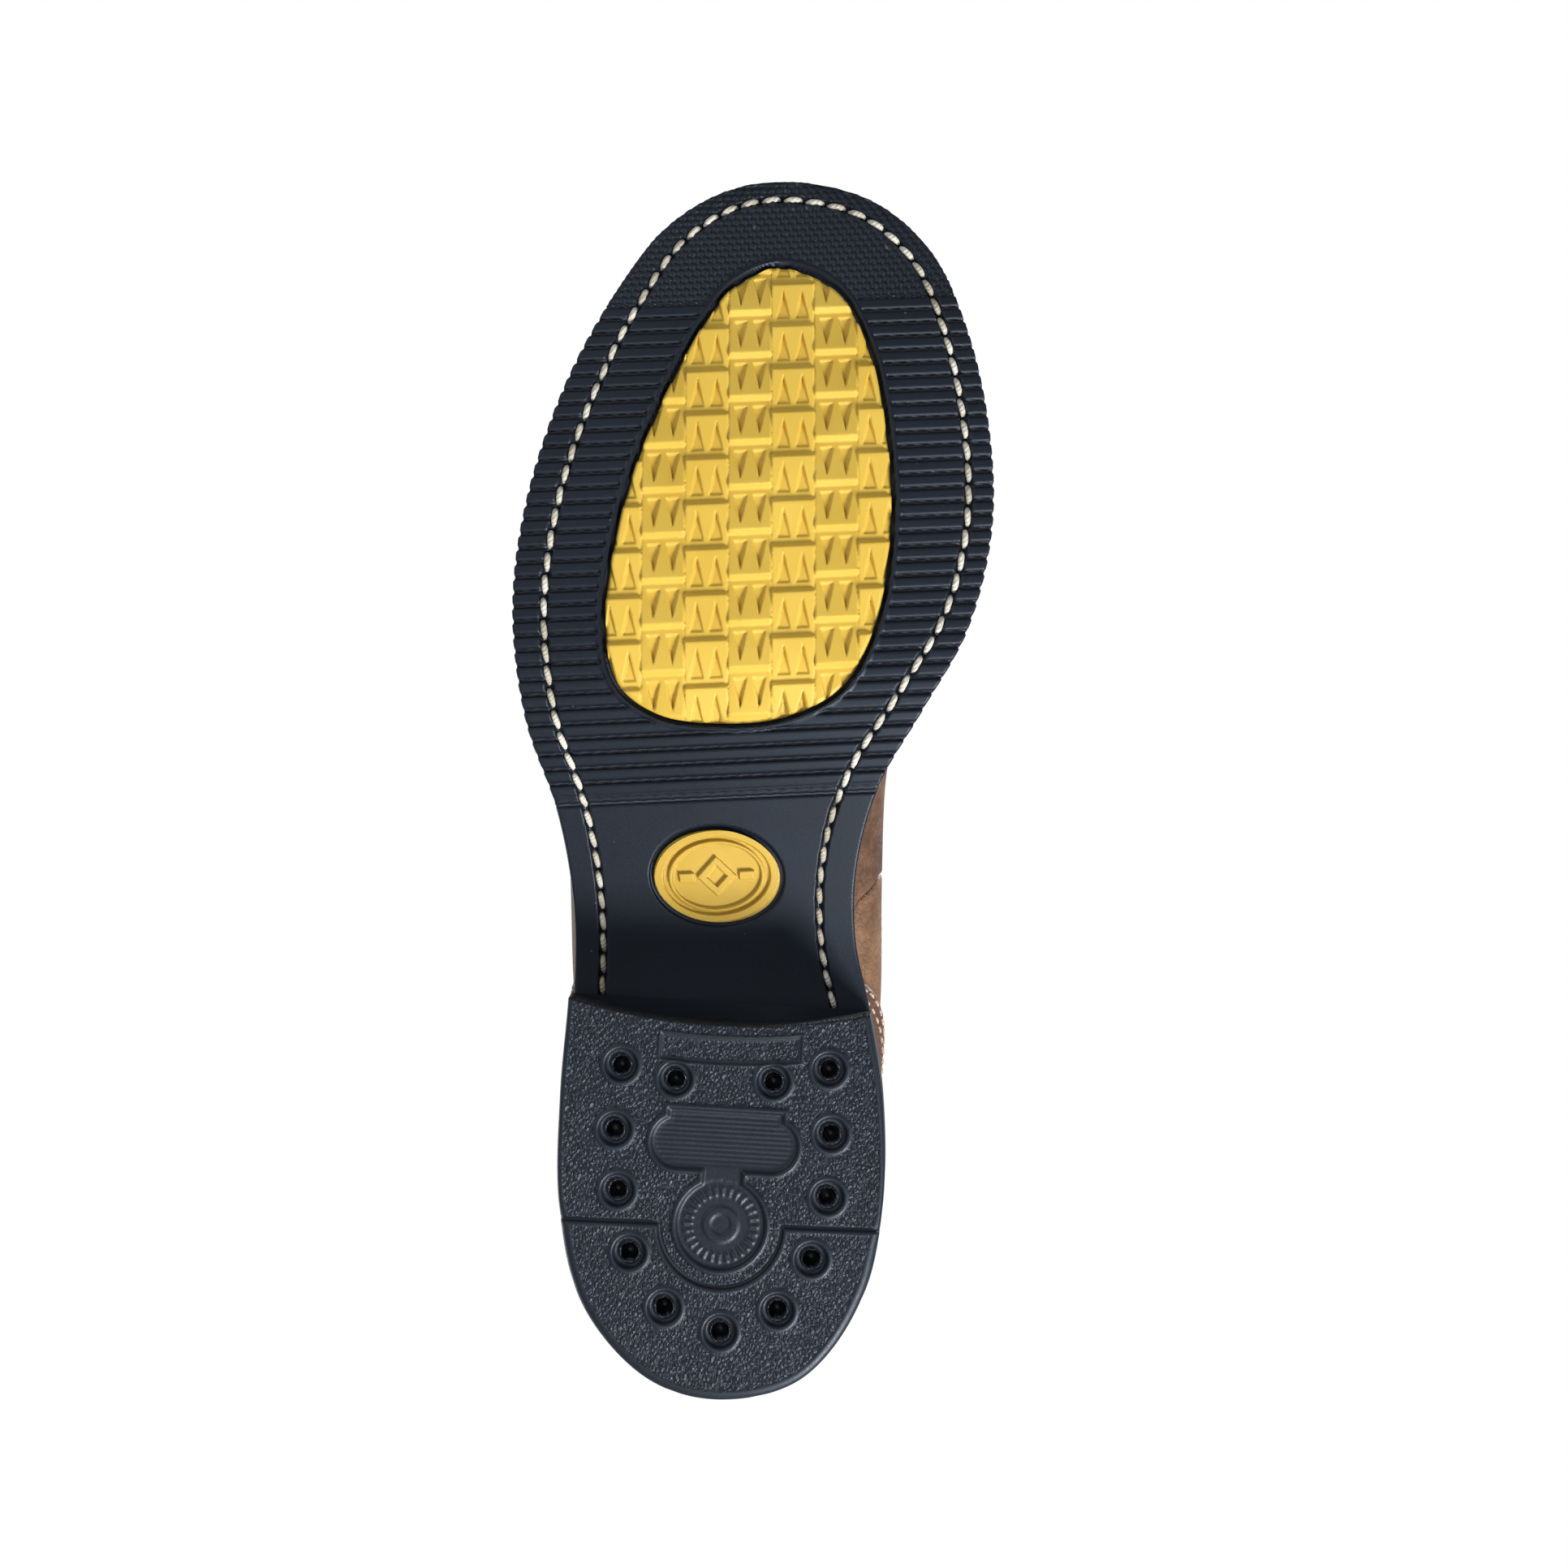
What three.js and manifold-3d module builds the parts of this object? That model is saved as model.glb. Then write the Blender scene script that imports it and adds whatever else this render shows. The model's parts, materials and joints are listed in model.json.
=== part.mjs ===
// A right-foot, pull-on, side-gore work boot with a steel toe cap, as a scene of separate closed pieces.
// Millimetres, +Z up. The toe points along -Y and the inner (medial) side of the foot is +X.
// The pieces are modelled with the back of the heel at y = 0, and the whole boot is then moved so that
// the origin is on the ground, under the middle of its bounding box.
import * as THREE from "three";
import { mergeVertices } from "three/addons/utils/BufferGeometryUtils.js";
import Module from "manifold-3d";

// ---------------------------------------------------------------- driving dimensions
const SOLE_LENGTH = 306;
const BALL_WIDTH = 118;
const HEEL_HEIGHT = 28; // ground to the underside of the outsole at the heel
const TOE_SPRING = 14; // ground to the underside of the outsole at the toe tip
const SHAFT_HEIGHT = 131; // welt to collar, at the back
const GAP = 0.3; // left between pieces that rest on each other

const OUTSOLE_THICKNESS = 6;
const MIDSOLE_THICKNESS = 3.5;
const WELT_THICKNESS = 3;
const INSOLE_THICKNESS = 3;
const FOOTBED_THICKNESS = 5;
const PLATE_THICKNESS = 1;
const LEATHER_THICKNESS = 2.2;
const STRUCTURE_THICKNESS = 1.6; // steel cap, stiffener, elastic and interlining, between leather and lining
const LINING_THICKNESS = 0.9;
const OVERLAY_THICKNESS = 1.8; // outside counter and backstay

const WELT_EXTENSION = 8.5; // sole edge to the upper, round the forefoot and the waist
const SEAT_EXTENSION = 4.5; // the same round the heel seat
const STITCH_INSET = 6.5; // sole edge to the stitching, on the outsole
const WELT_STITCH_CLEARANCE = 3.5; // upper to the stitching, on the welt
const THREAD_RADIUS = 0.6;
const CHANNEL_DEPTH = 1.8; // the groove in the outsole that the thread lies in
const CHANNEL_WIDTH = 2.4;
const RIB_PITCH = 3.65;
const RIB_GROOVE_WIDTH = 1.1;
const RIB_GROOVE_DEPTH = 1.2;
const RIB_SKEW = THREE.MathUtils.degToRad(5.8); // the ribs' slant across the sole
const INSERT_THICKNESS = 3;
const INSERT_RIM = 3; // plain rubber left round the insert
const BADGE_THICKNESS = 1.7;
const BADGE_LENGTH = 24;
const BADGE_WIDTH = 33;

const NAIL_RADIUS = 1.1;
const NAIL_HEAD_RADIUS = 2;
const NAIL_HEAD_THICKNESS = 1.2;
const NAIL_HEAD_DEPTH = 6; // how far the head is sunk into the heel
const NAIL_CLEARANCE = 0.3;
const HEEL_TAPER = 1.6; // how much smaller the heel is at the ground, on each side
const HEEL_TAPER_END = 25; // the taper runs out over this length, to none at the upright back
const BREAST_RADIUS = 152; // the hollow front of the heel, in plan
const HEEL_RECESS = 0.8; // depth of the panel and the round boss's ring in the heel's underside
const HEEL_PANEL_LENGTH = 36;
const HEEL_PANEL_WIDTH = 14;
const HEEL_BOSS_RADIUS = 11.3;
const HEEL_RING_WIDTH = 2;

const CAP_LENGTH = 58; // steel cap, from the front of the upper backwards
const CAP_GASKET_WIDTH = 6;
const SHANK_WIDTH = 14;
const SHANK_LENGTH = 92;
const RIB_RING_WIDTH = 2; // the insole's sewing rib
const GORE_OVERLAP = 7; // elastic hidden behind the leather edges

const LOOP_WIDTH = 22;
const LOOP_HEIGHT = 34;
const LOOP_GAP = 14; // inside the loop, front to back
const WEBBING_THICKNESS = 1.6;
const ANCHOR_HEIGHT = 26; // webbing sewn to the leather below the collar
const ANCHOR_INSIDE = 14; // and below it on the lining
const BINDING_HEIGHT = 2.4;

// ---------------------------------------------------------------- reference shapes
const REFERENCE_LENGTH = 306;
const REFERENCE_WIDTH = 118;
const alongScale = SOLE_LENGTH / REFERENCE_LENGTH;
const acrossScale = BALL_WIDTH / REFERENCE_WIDTH;

// Edge of the sole in plan at the reference size, from the toe tip round the inner side to the heel and back.
const SOLE_EDGE = [
  [0, -306], [21, -302], [36.5, -289], [46, -270], [53, -244], [55.3, -216], [50.5, -190],
  [40.5, -169.5], [31, -150.5], [27, -130], [28, -112], [32.5, -95], [37.3, -72], [38.6, -48],
  [34.5, -25], [20, -5.8], [0, 0],
  [-18, -4], [-36, -21], [-43, -44], [-44.5, -70], [-44, -96], [-45.5, -119], [-50, -140.5],
  [-58, -161.5], [-62.5, -190], [-61, -215], [-53.5, -246], [-43, -271], [-31, -291], [-16, -302.5],
];
// Edge of the yellow grip insert under the ball of the foot.
const INSERT_EDGE = [
  [-1, -281.3], [13, -276], [22, -261], [27.5, -240], [30, -215], [27.5, -190], [20, -174],
  [6, -166], [-10, -163.7], [-25, -165], [-35.5, -172], [-39.3, -188], [-37, -214], [-31, -237], [-20, -264],
  [-12, -276],
];
const RIBS_FROM = -270; // middle of the foremost and hindmost groove
const RIBS_TO = -147;
const BADGE_AT = [-8.6, -126];
const SHANK_LINE = -97; // sewing and the welt stop here, at the front of the heel
const BREAST_AT = [-5.5, -89.5]; // deepest point of the heel's hollow front
const HEEL_PANEL_AT = [-2.2, -61.5];
const HEEL_BOSS_AT = [-2, -41.6];
const BALL_FRONT = -215; // the sole touches the ground between these
const BALL_BACK = -187;
const HEEL_NAILS = [
  [-28.4, -78.6], [-15, -75.9], [8.8, -76.6], [22.2, -80.3], [-29, -63], [23.5, -64.8], [-27.4, -48.5],
  [23.5, -49.6], [-23.6, -34], [20.4, -34.8], [-14.4, -21.4], [12.9, -22.2], [-0.6, -16.4],
];

// The outside of the upper: rings from below the welt to the collar. The lowest follow the sole's edge,
// swelling past it, and rise from a front to a back height above the seat. For the others front and back are
// [y, height] on the centre line, half holds half-widths at seven equal turns from front to back, and
// hug is how far the ring follows the sole's curve.
const RINGS = [
  { swell: 0, rise: [-4, -4], hug: 1 },
  { swell: 0.2, rise: [4, 4], hug: 1 },
  { swell: 1.4, rise: [14, 16], hug: 0.9 },
  { front: [-291, 32], back: [-1.5, 31], half: [26, 40, 45, 43, 42, 37, 23.5], hug: 0.5 },
  { front: [-262, 54], back: [-3.5, 54], half: [18, 27, 35, 43, 42, 36.5, 22], hug: 0.25 },
  { front: [-205, 71], back: [-8, 75], half: [11, 22, 33, 42, 40.5, 34, 20], hug: 0 },
  { front: [-150, 90], back: [-10, 97], half: [12, 24, 34.5, 40, 38.5, 30.5, 17], hug: 0 },
  { front: [-124, 106], back: [-9, 115], half: [14, 27, 36, 40, 37.5, 28.5, 15.5], hug: 0 },
  { front: [-118, 133], back: [-6, 131], half: [15.5, 29, 37.5, 41, 38, 29, 15.5], hug: 0 },
];
const FIRST_SHAFT_RING = 5; // rings above this one stretch with SHAFT_HEIGHT
const REFERENCE_SHAFT = 131;
const COLLAR_DIP = 6; // the collar is lower at the sides

// Side elevation of the cut lines of the upper, as [y, height above the ground]. They cut both sides alike.
const GORE_LINE = [
  [-131, 98], [-126, 88], [-114, 84], [-101, 89], [-60, 134], [-50, 200], [-88, 200], [-97, 138],
];
const COUNTER_LINE = [
  [-104, 30], [-104, 52], [-98, 66], [-70, 80], [-40, 95], [-15, 103], [10, 104], [10, 30],
];
// Vamp and quarter meet along this line, which starts under the counter and ends inside the gore.
const VAMP_SEAM = [[-99, -20], [-99, 56], [-123, 61], [-130, 67], [-131, 78], [-120, 96], [-80, 138], [-70, 400]];
const STIFFENER_TOP = 96;
const BACKSTAY_WIDTH = 18;

// ---------------------------------------------------------------- solids
const wasm = await Module();
wasm.setup();

function solidOf(geometry) {
  const bare = new THREE.BufferGeometry().setAttribute("position", geometry.getAttribute("position"));
  bare.setIndex(geometry.index);
  const merged = mergeVertices(bare, 1e-4);
  return new wasm.Manifold(
    new wasm.Mesh({
      numProp: 3,
      vertProperties: merged.attributes.position.array,
      triVerts: new Uint32Array(merged.index.array),
    }),
  );
}

function geometryOf(solid) {
  const mesh = solid.getMesh();
  const geometry = new THREE.BufferGeometry();
  geometry.setAttribute("position", new THREE.BufferAttribute(mesh.vertProperties, 3));
  geometry.setIndex(new THREE.BufferAttribute(mesh.triVerts, 1));
  geometry.computeVertexNormals();
  return geometry;
}

function prism(points, low, high) {
  const shape = new THREE.Shape(points.map(([x, y]) => new THREE.Vector2(x, y)));
  const geometry = new THREE.ExtrudeGeometry(shape, { depth: high - low, bevelEnabled: false });
  return solidOf(geometry.translate(0, 0, low));
}

// A side-view outline [[y, z], ...] run straight through the boot, from x = from to x = to.
const THROUGH = 200;
function sidePrism(points, from = -THROUGH, to = THROUGH) {
  const shape = new THREE.Shape(points.map(([y, z]) => new THREE.Vector2(y, z)));
  const geometry = new THREE.ExtrudeGeometry(shape, { depth: to - from, bevelEnabled: false });
  const lay = new THREE.Matrix4().makeBasis(
    new THREE.Vector3(0, 1, 0),
    new THREE.Vector3(0, 0, 1),
    new THREE.Vector3(1, 0, 0),
  );
  return solidOf(geometry.applyMatrix4(lay).translate(from, 0, 0));
}

function block(xs, ys, zs) {
  const geometry = new THREE.BoxGeometry(xs[1] - xs[0], ys[1] - ys[0], zs[1] - zs[0]);
  return solidOf(geometry.translate((xs[0] + xs[1]) / 2, (ys[0] + ys[1]) / 2, (zs[0] + zs[1]) / 2));
}

function post(x, y, radius, low, high, sides = 10) {
  const geometry = new THREE.CylinderGeometry(radius, radius, high - low, sides);
  return solidOf(geometry.rotateX(Math.PI / 2).translate(x, y, (low + high) / 2));
}

// A closed body between two outlines with as many points, one above the other.
function loft(lowPoints, lowZ, highPoints, highZ) {
  const count = lowPoints.length;
  const position = [...lowPoints.map(([x, y]) => [x, y, lowZ]), ...highPoints.map(([x, y]) => [x, y, highZ])];
  const caps = THREE.ShapeUtils.triangulateShape(lowPoints.map(([x, y]) => new THREE.Vector2(x, y)), []);
  const index = [];
  for (const [a, b, c] of caps) {
    index.push(a, c, b, a + count, b + count, c + count);
  }
  for (let i = 0; i < count; i++) {
    const j = (i + 1) % count;
    index.push(i, j, j + count, i, j + count, i + count);
  }
  const geometry = new THREE.BufferGeometry();
  geometry.setAttribute("position", new THREE.Float32BufferAttribute(position.flat(), 3));
  geometry.setIndex(index);
  return solidOf(geometry);
}

// ---------------------------------------------------------------- the sole's shape
const ease = (share) => 0.5 - 0.5 * Math.cos(Math.PI * THREE.MathUtils.clamp(share, 0, 1));
const placeY = (y) => y * alongScale;

// Height of the outsole's underside above the ground.
function soleLine(y) {
  const front = placeY(BALL_FRONT);
  if (y < front) return TOE_SPRING * Math.pow((front - y) / (front + SOLE_LENGTH), 1.8);
  return HEEL_HEIGHT * ease((y - placeY(BALL_BACK)) / (placeY(SHANK_LINE) - placeY(BALL_BACK)));
}

// Stations where every layer of the sole has an edge, so that stacked layers have the same facets.
function stations() {
  const knots = [60];
  const steps = 6;
  for (let i = 0; i <= steps + 1; i++) {
    knots.push(THREE.MathUtils.lerp(placeY(SHANK_LINE), placeY(BALL_BACK), i / (steps + 1)));
  }
  for (let i = 0; i <= steps; i++) {
    knots.push(THREE.MathUtils.lerp(placeY(BALL_FRONT), -SOLE_LENGTH - 8, i / steps));
  }
  return knots;
}

// Points about one spacing apart on a smooth closed curve, which is scaled with the sole.
function closedCurve(points, spacing) {
  const curve = new THREE.CatmullRomCurve3(
    points.map(([x, y]) => new THREE.Vector3(x * acrossScale, y * alongScale, 0)),
    true,
    "centripetal",
  );
  const count = Math.round(curve.getLength() / spacing);
  return curve.getSpacedPoints(count).slice(0, count).map((p) => [p.x, p.y]);
}

const EDGE_SPACING = 15.03;
const INSERT_SPACING = 9.56;
const soleEdge = closedCurve(SOLE_EDGE, EDGE_SPACING);

// An outline moved inwards by a distance, or by a distance that depends on y.
function inset(points, distance) {
  return points.map(([x, y], i) => {
    const before = points[(i + points.length - 1) % points.length];
    const after = points[(i + 1) % points.length];
    const along = new THREE.Vector2(after[0] - before[0], after[1] - before[1]).normalize();
    const by = typeof distance === "number" ? distance : distance(y);
    return [x - along.y * by, y + along.x * by];
  });
}

// The body between two heights above the sole's underside, inside an outline.
function layer(points, low, high) {
  const knots = stations();
  const side = [
    ...knots.map((y) => [y, soleLine(y) + high]),
    ...knots.map((y) => [y, soleLine(y) + low]).reverse(),
  ];
  return prism(points, -50, 250).intersect(sidePrism(side));
}

const ahead = (y) => block([-THROUGH, THROUGH], [-2 * SOLE_LENGTH, y], [-50, 400]);
const behind = (y) => block([-THROUGH, THROUGH], [y, SOLE_LENGTH], [-50, 400]);

const midsoleLow = OUTSOLE_THICKNESS + GAP;
const weltLow = midsoleLow + MIDSOLE_THICKNESS + GAP;
const weltHigh = weltLow + WELT_THICKNESS;
const seat = weltHigh + GAP; // the upper and the insole stand here
const wall = LEATHER_THICKNESS + STRUCTURE_THICKNESS + LINING_THICKNESS + 2 * GAP;

// Distance from the sole's edge to the upper, which is smaller round the heel seat.
function extension(y) {
  const share = ease((y - placeY(SHANK_LINE)) / 30);
  return THREE.MathUtils.lerp(WELT_EXTENSION, SEAT_EXTENSION, share);
}
const insideWall = (more) => (y) => extension(y) + wall + more;

// ---------------------------------------------------------------- the upper's surface
const featherEdge = inset(soleEdge, extension);

const frontOf = (points) => Math.min(...points.map(([, y]) => y));
const backOf = (points) => Math.max(...points.map(([, y]) => y));

// Where an outline crosses a line across the boot: [outer side x, inner side x].
function crossing(points, wantedY) {
  const y = THREE.MathUtils.clamp(wantedY, frontOf(points) + 0.05, backOf(points) - 0.05);
  const found = [];
  for (let i = 0; i < points.length; i++) {
    const [x0, y0] = points[i];
    const [x1, y1] = points[(i + 1) % points.length];
    if (y0 <= y !== y1 <= y) found.push(x0 + ((x1 - x0) * (y - y0)) / (y1 - y0));
  }
  return [Math.min(...found), Math.max(...found)];
}

// Centre line of the shaft in plan: it follows the heel, which points a little outwards.
const shaftCentre = (y) => acrossScale * THREE.MathUtils.clamp(y * 0.056, -6, 0);
const seatHeight = (y) => soleLine(y) + seat;

// Heights above the first shaft ring stretch with the shaft.
function shaftStretch(height) {
  const base = RINGS[FIRST_SHAFT_RING].back[1];
  return height > base ? base + ((height - base) * (SHAFT_HEIGHT - base)) / (REFERENCE_SHAFT - base) : height;
}

const TURNS = 8;
function buildRing(ring, index) {
  const outline = ring.half ? null : inset(featherEdge, -ring.swell);
  const frontY = outline ? frontOf(outline) : placeY(ring.front[0]);
  const backY = outline ? backOf(outline) : placeY(ring.back[0]);
  const rise = outline ? ring.rise : [ring.front[1], ring.back[1]].map(shaftStretch);
  const turns = Array.from({ length: TURNS + 1 }, (_, k) => {
    const y = THREE.MathUtils.lerp(frontY, backY, (1 - Math.cos((k * Math.PI) / TURNS)) / 2);
    const [outer, inner] = crossing(featherEdge, y);
    return THREE.MathUtils.lerp(shaftCentre(y), (inner + outer) / 2, ring.hug);
  });
  return {
    outline, frontY, backY,
    frontZ: seatHeight(frontY) + rise[0],
    backZ: seatHeight(backY) + rise[1],
    hug: ring.hug,
    dip: index === RINGS.length - 1 ? COLLAR_DIP : 0,
    half: ring.half && [0, ...ring.half.map((value) => value * acrossScale), 0],
    centre: turns,
  };
}

// Interpolates the turn values; half-widths change sign past each end, centres don't.
function turnValue(values, turn, sign) {
  const at = (k) => {
    if (k < 0) return sign * values[-k];
    if (k > TURNS) return sign * values[2 * TURNS - k];
    return values[k];
  };
  const k = Math.min(Math.floor(turn), TURNS - 1);
  const f = turn - k;
  const [a, b, c, d] = [at(k - 1), at(k), at(k + 1), at(k + 2)];
  return b + 0.5 * f * (c - a + f * (2 * a - 5 * b + 4 * c - d + f * (3 * (b - c) + d - a)));
}

const rings = RINGS.map(buildRing);

// Point of a ring at angle 0 (front) to 2 pi, the inner side of the foot first.
function ringPoint(built, angle) {
  const onInner = angle <= Math.PI;
  const share = (1 - Math.cos(angle)) / 2;
  const y = THREE.MathUtils.lerp(built.frontY, built.backY, share);
  const line = THREE.MathUtils.lerp(built.frontZ, built.backZ, share);
  const straight = THREE.MathUtils.lerp(seatHeight(built.frontY), seatHeight(built.backY), share);
  const z = line + built.hug * (seatHeight(y) - straight) - built.dip * Math.sin(angle) ** 2;
  if (built.outline) {
    const [outer, inner] = crossing(built.outline, y);
    const onLine = Math.abs(Math.sin(angle)) < 1e-6;
    return new THREE.Vector3(onLine ? (outer + inner) / 2 : onInner ? inner : outer, y, z);
  }
  const turn = ((onInner ? angle : 2 * Math.PI - angle) * TURNS) / Math.PI;
  const across = turnValue(built.half, turn, -1);
  return new THREE.Vector3(turnValue(built.centre, turn, 1) + (onInner ? across : -across), y, z);
}

// Columns of the outer surface, each a smooth curve from welt to collar.
const COLUMNS = 28;
const LEVELS = [0, 0.11, 0.22, 0.33, 0.45, 0.58, 0.72, 0.86, 1];
const columnCurve = (angle) =>
  new THREE.CatmullRomCurve3(rings.map((built) => ringPoint(built, angle)), false, "centripetal");

const angleStep = (2 * Math.PI) / COLUMNS;
const surface = Array.from({ length: COLUMNS }, (_, i) => {
  const curve = columnCurve(i * angleStep);
  return LEVELS.map((v) => curve.getPoint(v));
});

// Outward normals of the surface, turned level at the welt and at the collar so that edges stay level.
const normals = surface.map((column, i) =>
  column.map((point, j) => {
    const left = surface[(i + COLUMNS - 1) % COLUMNS][j];
    const right = surface[(i + 1) % COLUMNS][j];
    const low = column[Math.max(j - 1, 0)];
    const high = column[Math.min(j + 1, column.length - 1)];
    const normal = right.clone().sub(left).cross(high.clone().sub(low));
    if (j === 0 || j === column.length - 1) normal.z = 0;
    return normal.normalize();
  }),
);

// A full sock-shaped shell between two depths below the outer surface; a negative depth is outside it.
function shell(outerDepth, innerDepth) {
  const rows = LEVELS.length;
  const position = [];
  const depths = [outerDepth, innerDepth];
  for (const depth of depths) {
    for (let i = 0; i < COLUMNS; i++) {
      for (let j = 0; j < rows; j++) {
        position.push(surface[i][j].clone().addScaledVector(normals[i][j], -depth));
      }
    }
  }
  const at = (side, i, j) => side * COLUMNS * rows + (i % COLUMNS) * rows + j;
  const index = [];
  const quad = (a, b, c, d) => index.push(a, b, c, a, c, d);
  for (let i = 0; i < COLUMNS; i++) {
    for (let j = 0; j < rows - 1; j++) {
      quad(at(0, i, j), at(0, i + 1, j), at(0, i + 1, j + 1), at(0, i, j + 1));
      quad(at(1, i, j), at(1, i, j + 1), at(1, i + 1, j + 1), at(1, i + 1, j));
    }
    quad(at(0, i + 1, 0), at(0, i, 0), at(1, i, 0), at(1, i + 1, 0));
    quad(at(0, i, rows - 1), at(0, i + 1, rows - 1), at(1, i + 1, rows - 1), at(1, i, rows - 1));
  }
  const geometry = new THREE.BufferGeometry();
  const numbers = position.flatMap((p) => p.toArray());
  geometry.setAttribute("position", new THREE.Float32BufferAttribute(numbers, 3));
  geometry.setIndex(index);
  return solidOf(geometry).intersect(aboveSeat);
}

// The outline of the upper's foot at some depth inside its outer surface.
const footOutline = (depth) =>
  surface.map((column, i) => column[1].clone().addScaledVector(normals[i][1], -depth)).map((p) => [p.x, p.y]);

// Everything above the face that the upper stands on.
const aboveSeat = sidePrism([
  ...stations().map((y) => [y, seatHeight(y)]), [-2 * SOLE_LENGTH, 500], [60, 500],
]);

const structureDepth = LEATHER_THICKNESS + GAP;
const liningDepth = structureDepth + STRUCTURE_THICKNESS + GAP;
const leatherShell = shell(0, LEATHER_THICKNESS);
const structureShell = shell(structureDepth, structureDepth + STRUCTURE_THICKNESS);
const liningShell = shell(liningDepth, liningDepth + LINING_THICKNESS);
const overlayShell = shell(-GAP - OVERLAY_THICKNESS, -GAP);

// ---------------------------------------------------------------- materials
function finish(color, roughness, metalness = 0) {
  return new THREE.MeshStandardMaterial({ color, roughness, metalness });
}
const materials = {
  black_rubber: finish(0x1d2026, 0.55),
  yellow_rubber: finish(0xe0b93a, 0.5),
  heel_rubber: finish(0x1c1e23, 0.5),
  brown_leather: finish(0x7a5540, 0.7),
  counter_leather: finish(0x6d4c42, 0.7),
  welt_leather: finish(0x2b211b, 0.65),
  elastic: finish(0x2a1d18, 0.9),
  lining: finish(0xb59a78, 0.9),
  thread: finish(0xd8d3bd, 0.8),
  steel: finish(0x9a9da1, 0.35, 1),
  nail_steel: finish(0x6d6e72, 0.4, 1),
  cork: finish(0xb08a5a, 0.95),
  fibreboard: finish(0xa9865c, 0.9),
  felt: finish(0xcfc7b4, 0.95),
  webbing: finish(0x2b201a, 0.9),
  stiffener: finish(0xd9d2c0, 0.6),
};

const boot = new THREE.Group();
function add(name, solid, material) {
  const mesh = new THREE.Mesh(geometryOf(solid), materials[material].clone());
  mesh.name = name;
  boot.add(mesh);
}

// ---------------------------------------------------------------- sole unit
const scaled = ([x, y]) => [x * acrossScale, y * alongScale];
const nailPlaces = HEEL_NAILS.map(scaled);
const heelTop = HEEL_HEIGHT - GAP;

function nailHoles(solid) {
  const reach = HEEL_HEIGHT + weltLow;
  return nailPlaces.reduce(
    (rest, [x, y]) => rest.subtract(post(x, y, NAIL_RADIUS + NAIL_CLEARANCE, -1, reach, 6)),
    solid,
  );
}

// One groove between two ribs, bent to the sole's underside.
function ribGroove(y) {
  const pieces = 4;
  const size = [BALL_WIDTH * 1.3, RIB_GROOVE_WIDTH, RIB_GROOVE_DEPTH * 2];
  const geometry = new THREE.BoxGeometry(...size, pieces, 1, 1);
  const position = geometry.attributes.position;
  for (let i = 0; i < position.count; i++) {
    const along = y + position.getY(i) - position.getX(i) * Math.tan(RIB_SKEW);
    position.setXYZ(i, position.getX(i), along, position.getZ(i) + soleLine(along));
  }
  return solidOf(geometry);
}

function ring(points, from, to, low, high) {
  return layer(inset(points, from), low, high).subtract(prism(inset(points, to), -60, 260));
}

function outsole() {
  const insertEdge = closedCurve(INSERT_EDGE, INSERT_SPACING);
  let body = layer(soleEdge, 0, OUTSOLE_THICKNESS);
  const ribCount = Math.round((RIBS_TO - RIBS_FROM) * alongScale / RIB_PITCH);
  let grooves = ribGroove(placeY(RIBS_FROM));
  for (let i = 1; i <= ribCount; i++) grooves = grooves.add(ribGroove(placeY(RIBS_FROM) + i * RIB_PITCH));
  grooves = grooves.subtract(prism(inset(insertEdge, -INSERT_RIM), -60, 260));
  const half = CHANNEL_WIDTH / 2;
  const channel = ring(soleEdge, STITCH_INSET - half, STITCH_INSET + half, -5, CHANNEL_DEPTH);
  body = body.subtract(grooves).subtract(channel.intersect(ahead(placeY(SHANK_LINE))));
  body = body.subtract(layer(inset(insertEdge, -GAP), -5, INSERT_THICKNESS + 2 * GAP));
  body = body.subtract(layer(badgeOutline(GAP), -5, BADGE_THICKNESS + 2 * GAP));
  add("outsole", nailHoles(body), "black_rubber");
  add("outsole_grip_insert", layer(insertEdge, GAP, INSERT_THICKNESS + GAP), "yellow_rubber");
  add("outsole_badge", layer(badgeOutline(0), GAP, BADGE_THICKNESS + GAP), "yellow_rubber");
}

// A plain oval badge in the waist of the outsole.
function badgeOutline(grow) {
  const [x, y] = scaled(BADGE_AT);
  const count = 24;
  return Array.from({ length: count }, (_, i) => {
    const angle = (2 * Math.PI * i) / count;
    return [x + (BADGE_WIDTH / 2 + grow) * Math.cos(angle), y + (BADGE_LENGTH / 2 + grow) * Math.sin(angle)];
  });
}

// A plain panel with round ends, and a ring round a boss behind it, sunk into the heel's underside.
function heelRecess() {
  const [panelX, panelY] = scaled(HEEL_PANEL_AT);
  const [bossX, bossY] = scaled(HEEL_BOSS_AT);
  const end = HEEL_PANEL_WIDTH / 2;
  const endX = HEEL_PANEL_LENGTH / 2 - end;
  const disc = (x, y, radius) => post(x, y, radius, -1, HEEL_RECESS, 20);
  const panel = wasm.Manifold.hull([disc(panelX - endX, panelY, end), disc(panelX + endX, panelY, end)]);
  const ringOut = disc(bossX, bossY, HEEL_BOSS_RADIUS + HEEL_RING_WIDTH);
  return panel.add(ringOut.subtract(post(bossX, bossY, HEEL_BOSS_RADIUS, -2, HEEL_RECESS + 1, 20)));
}

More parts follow.
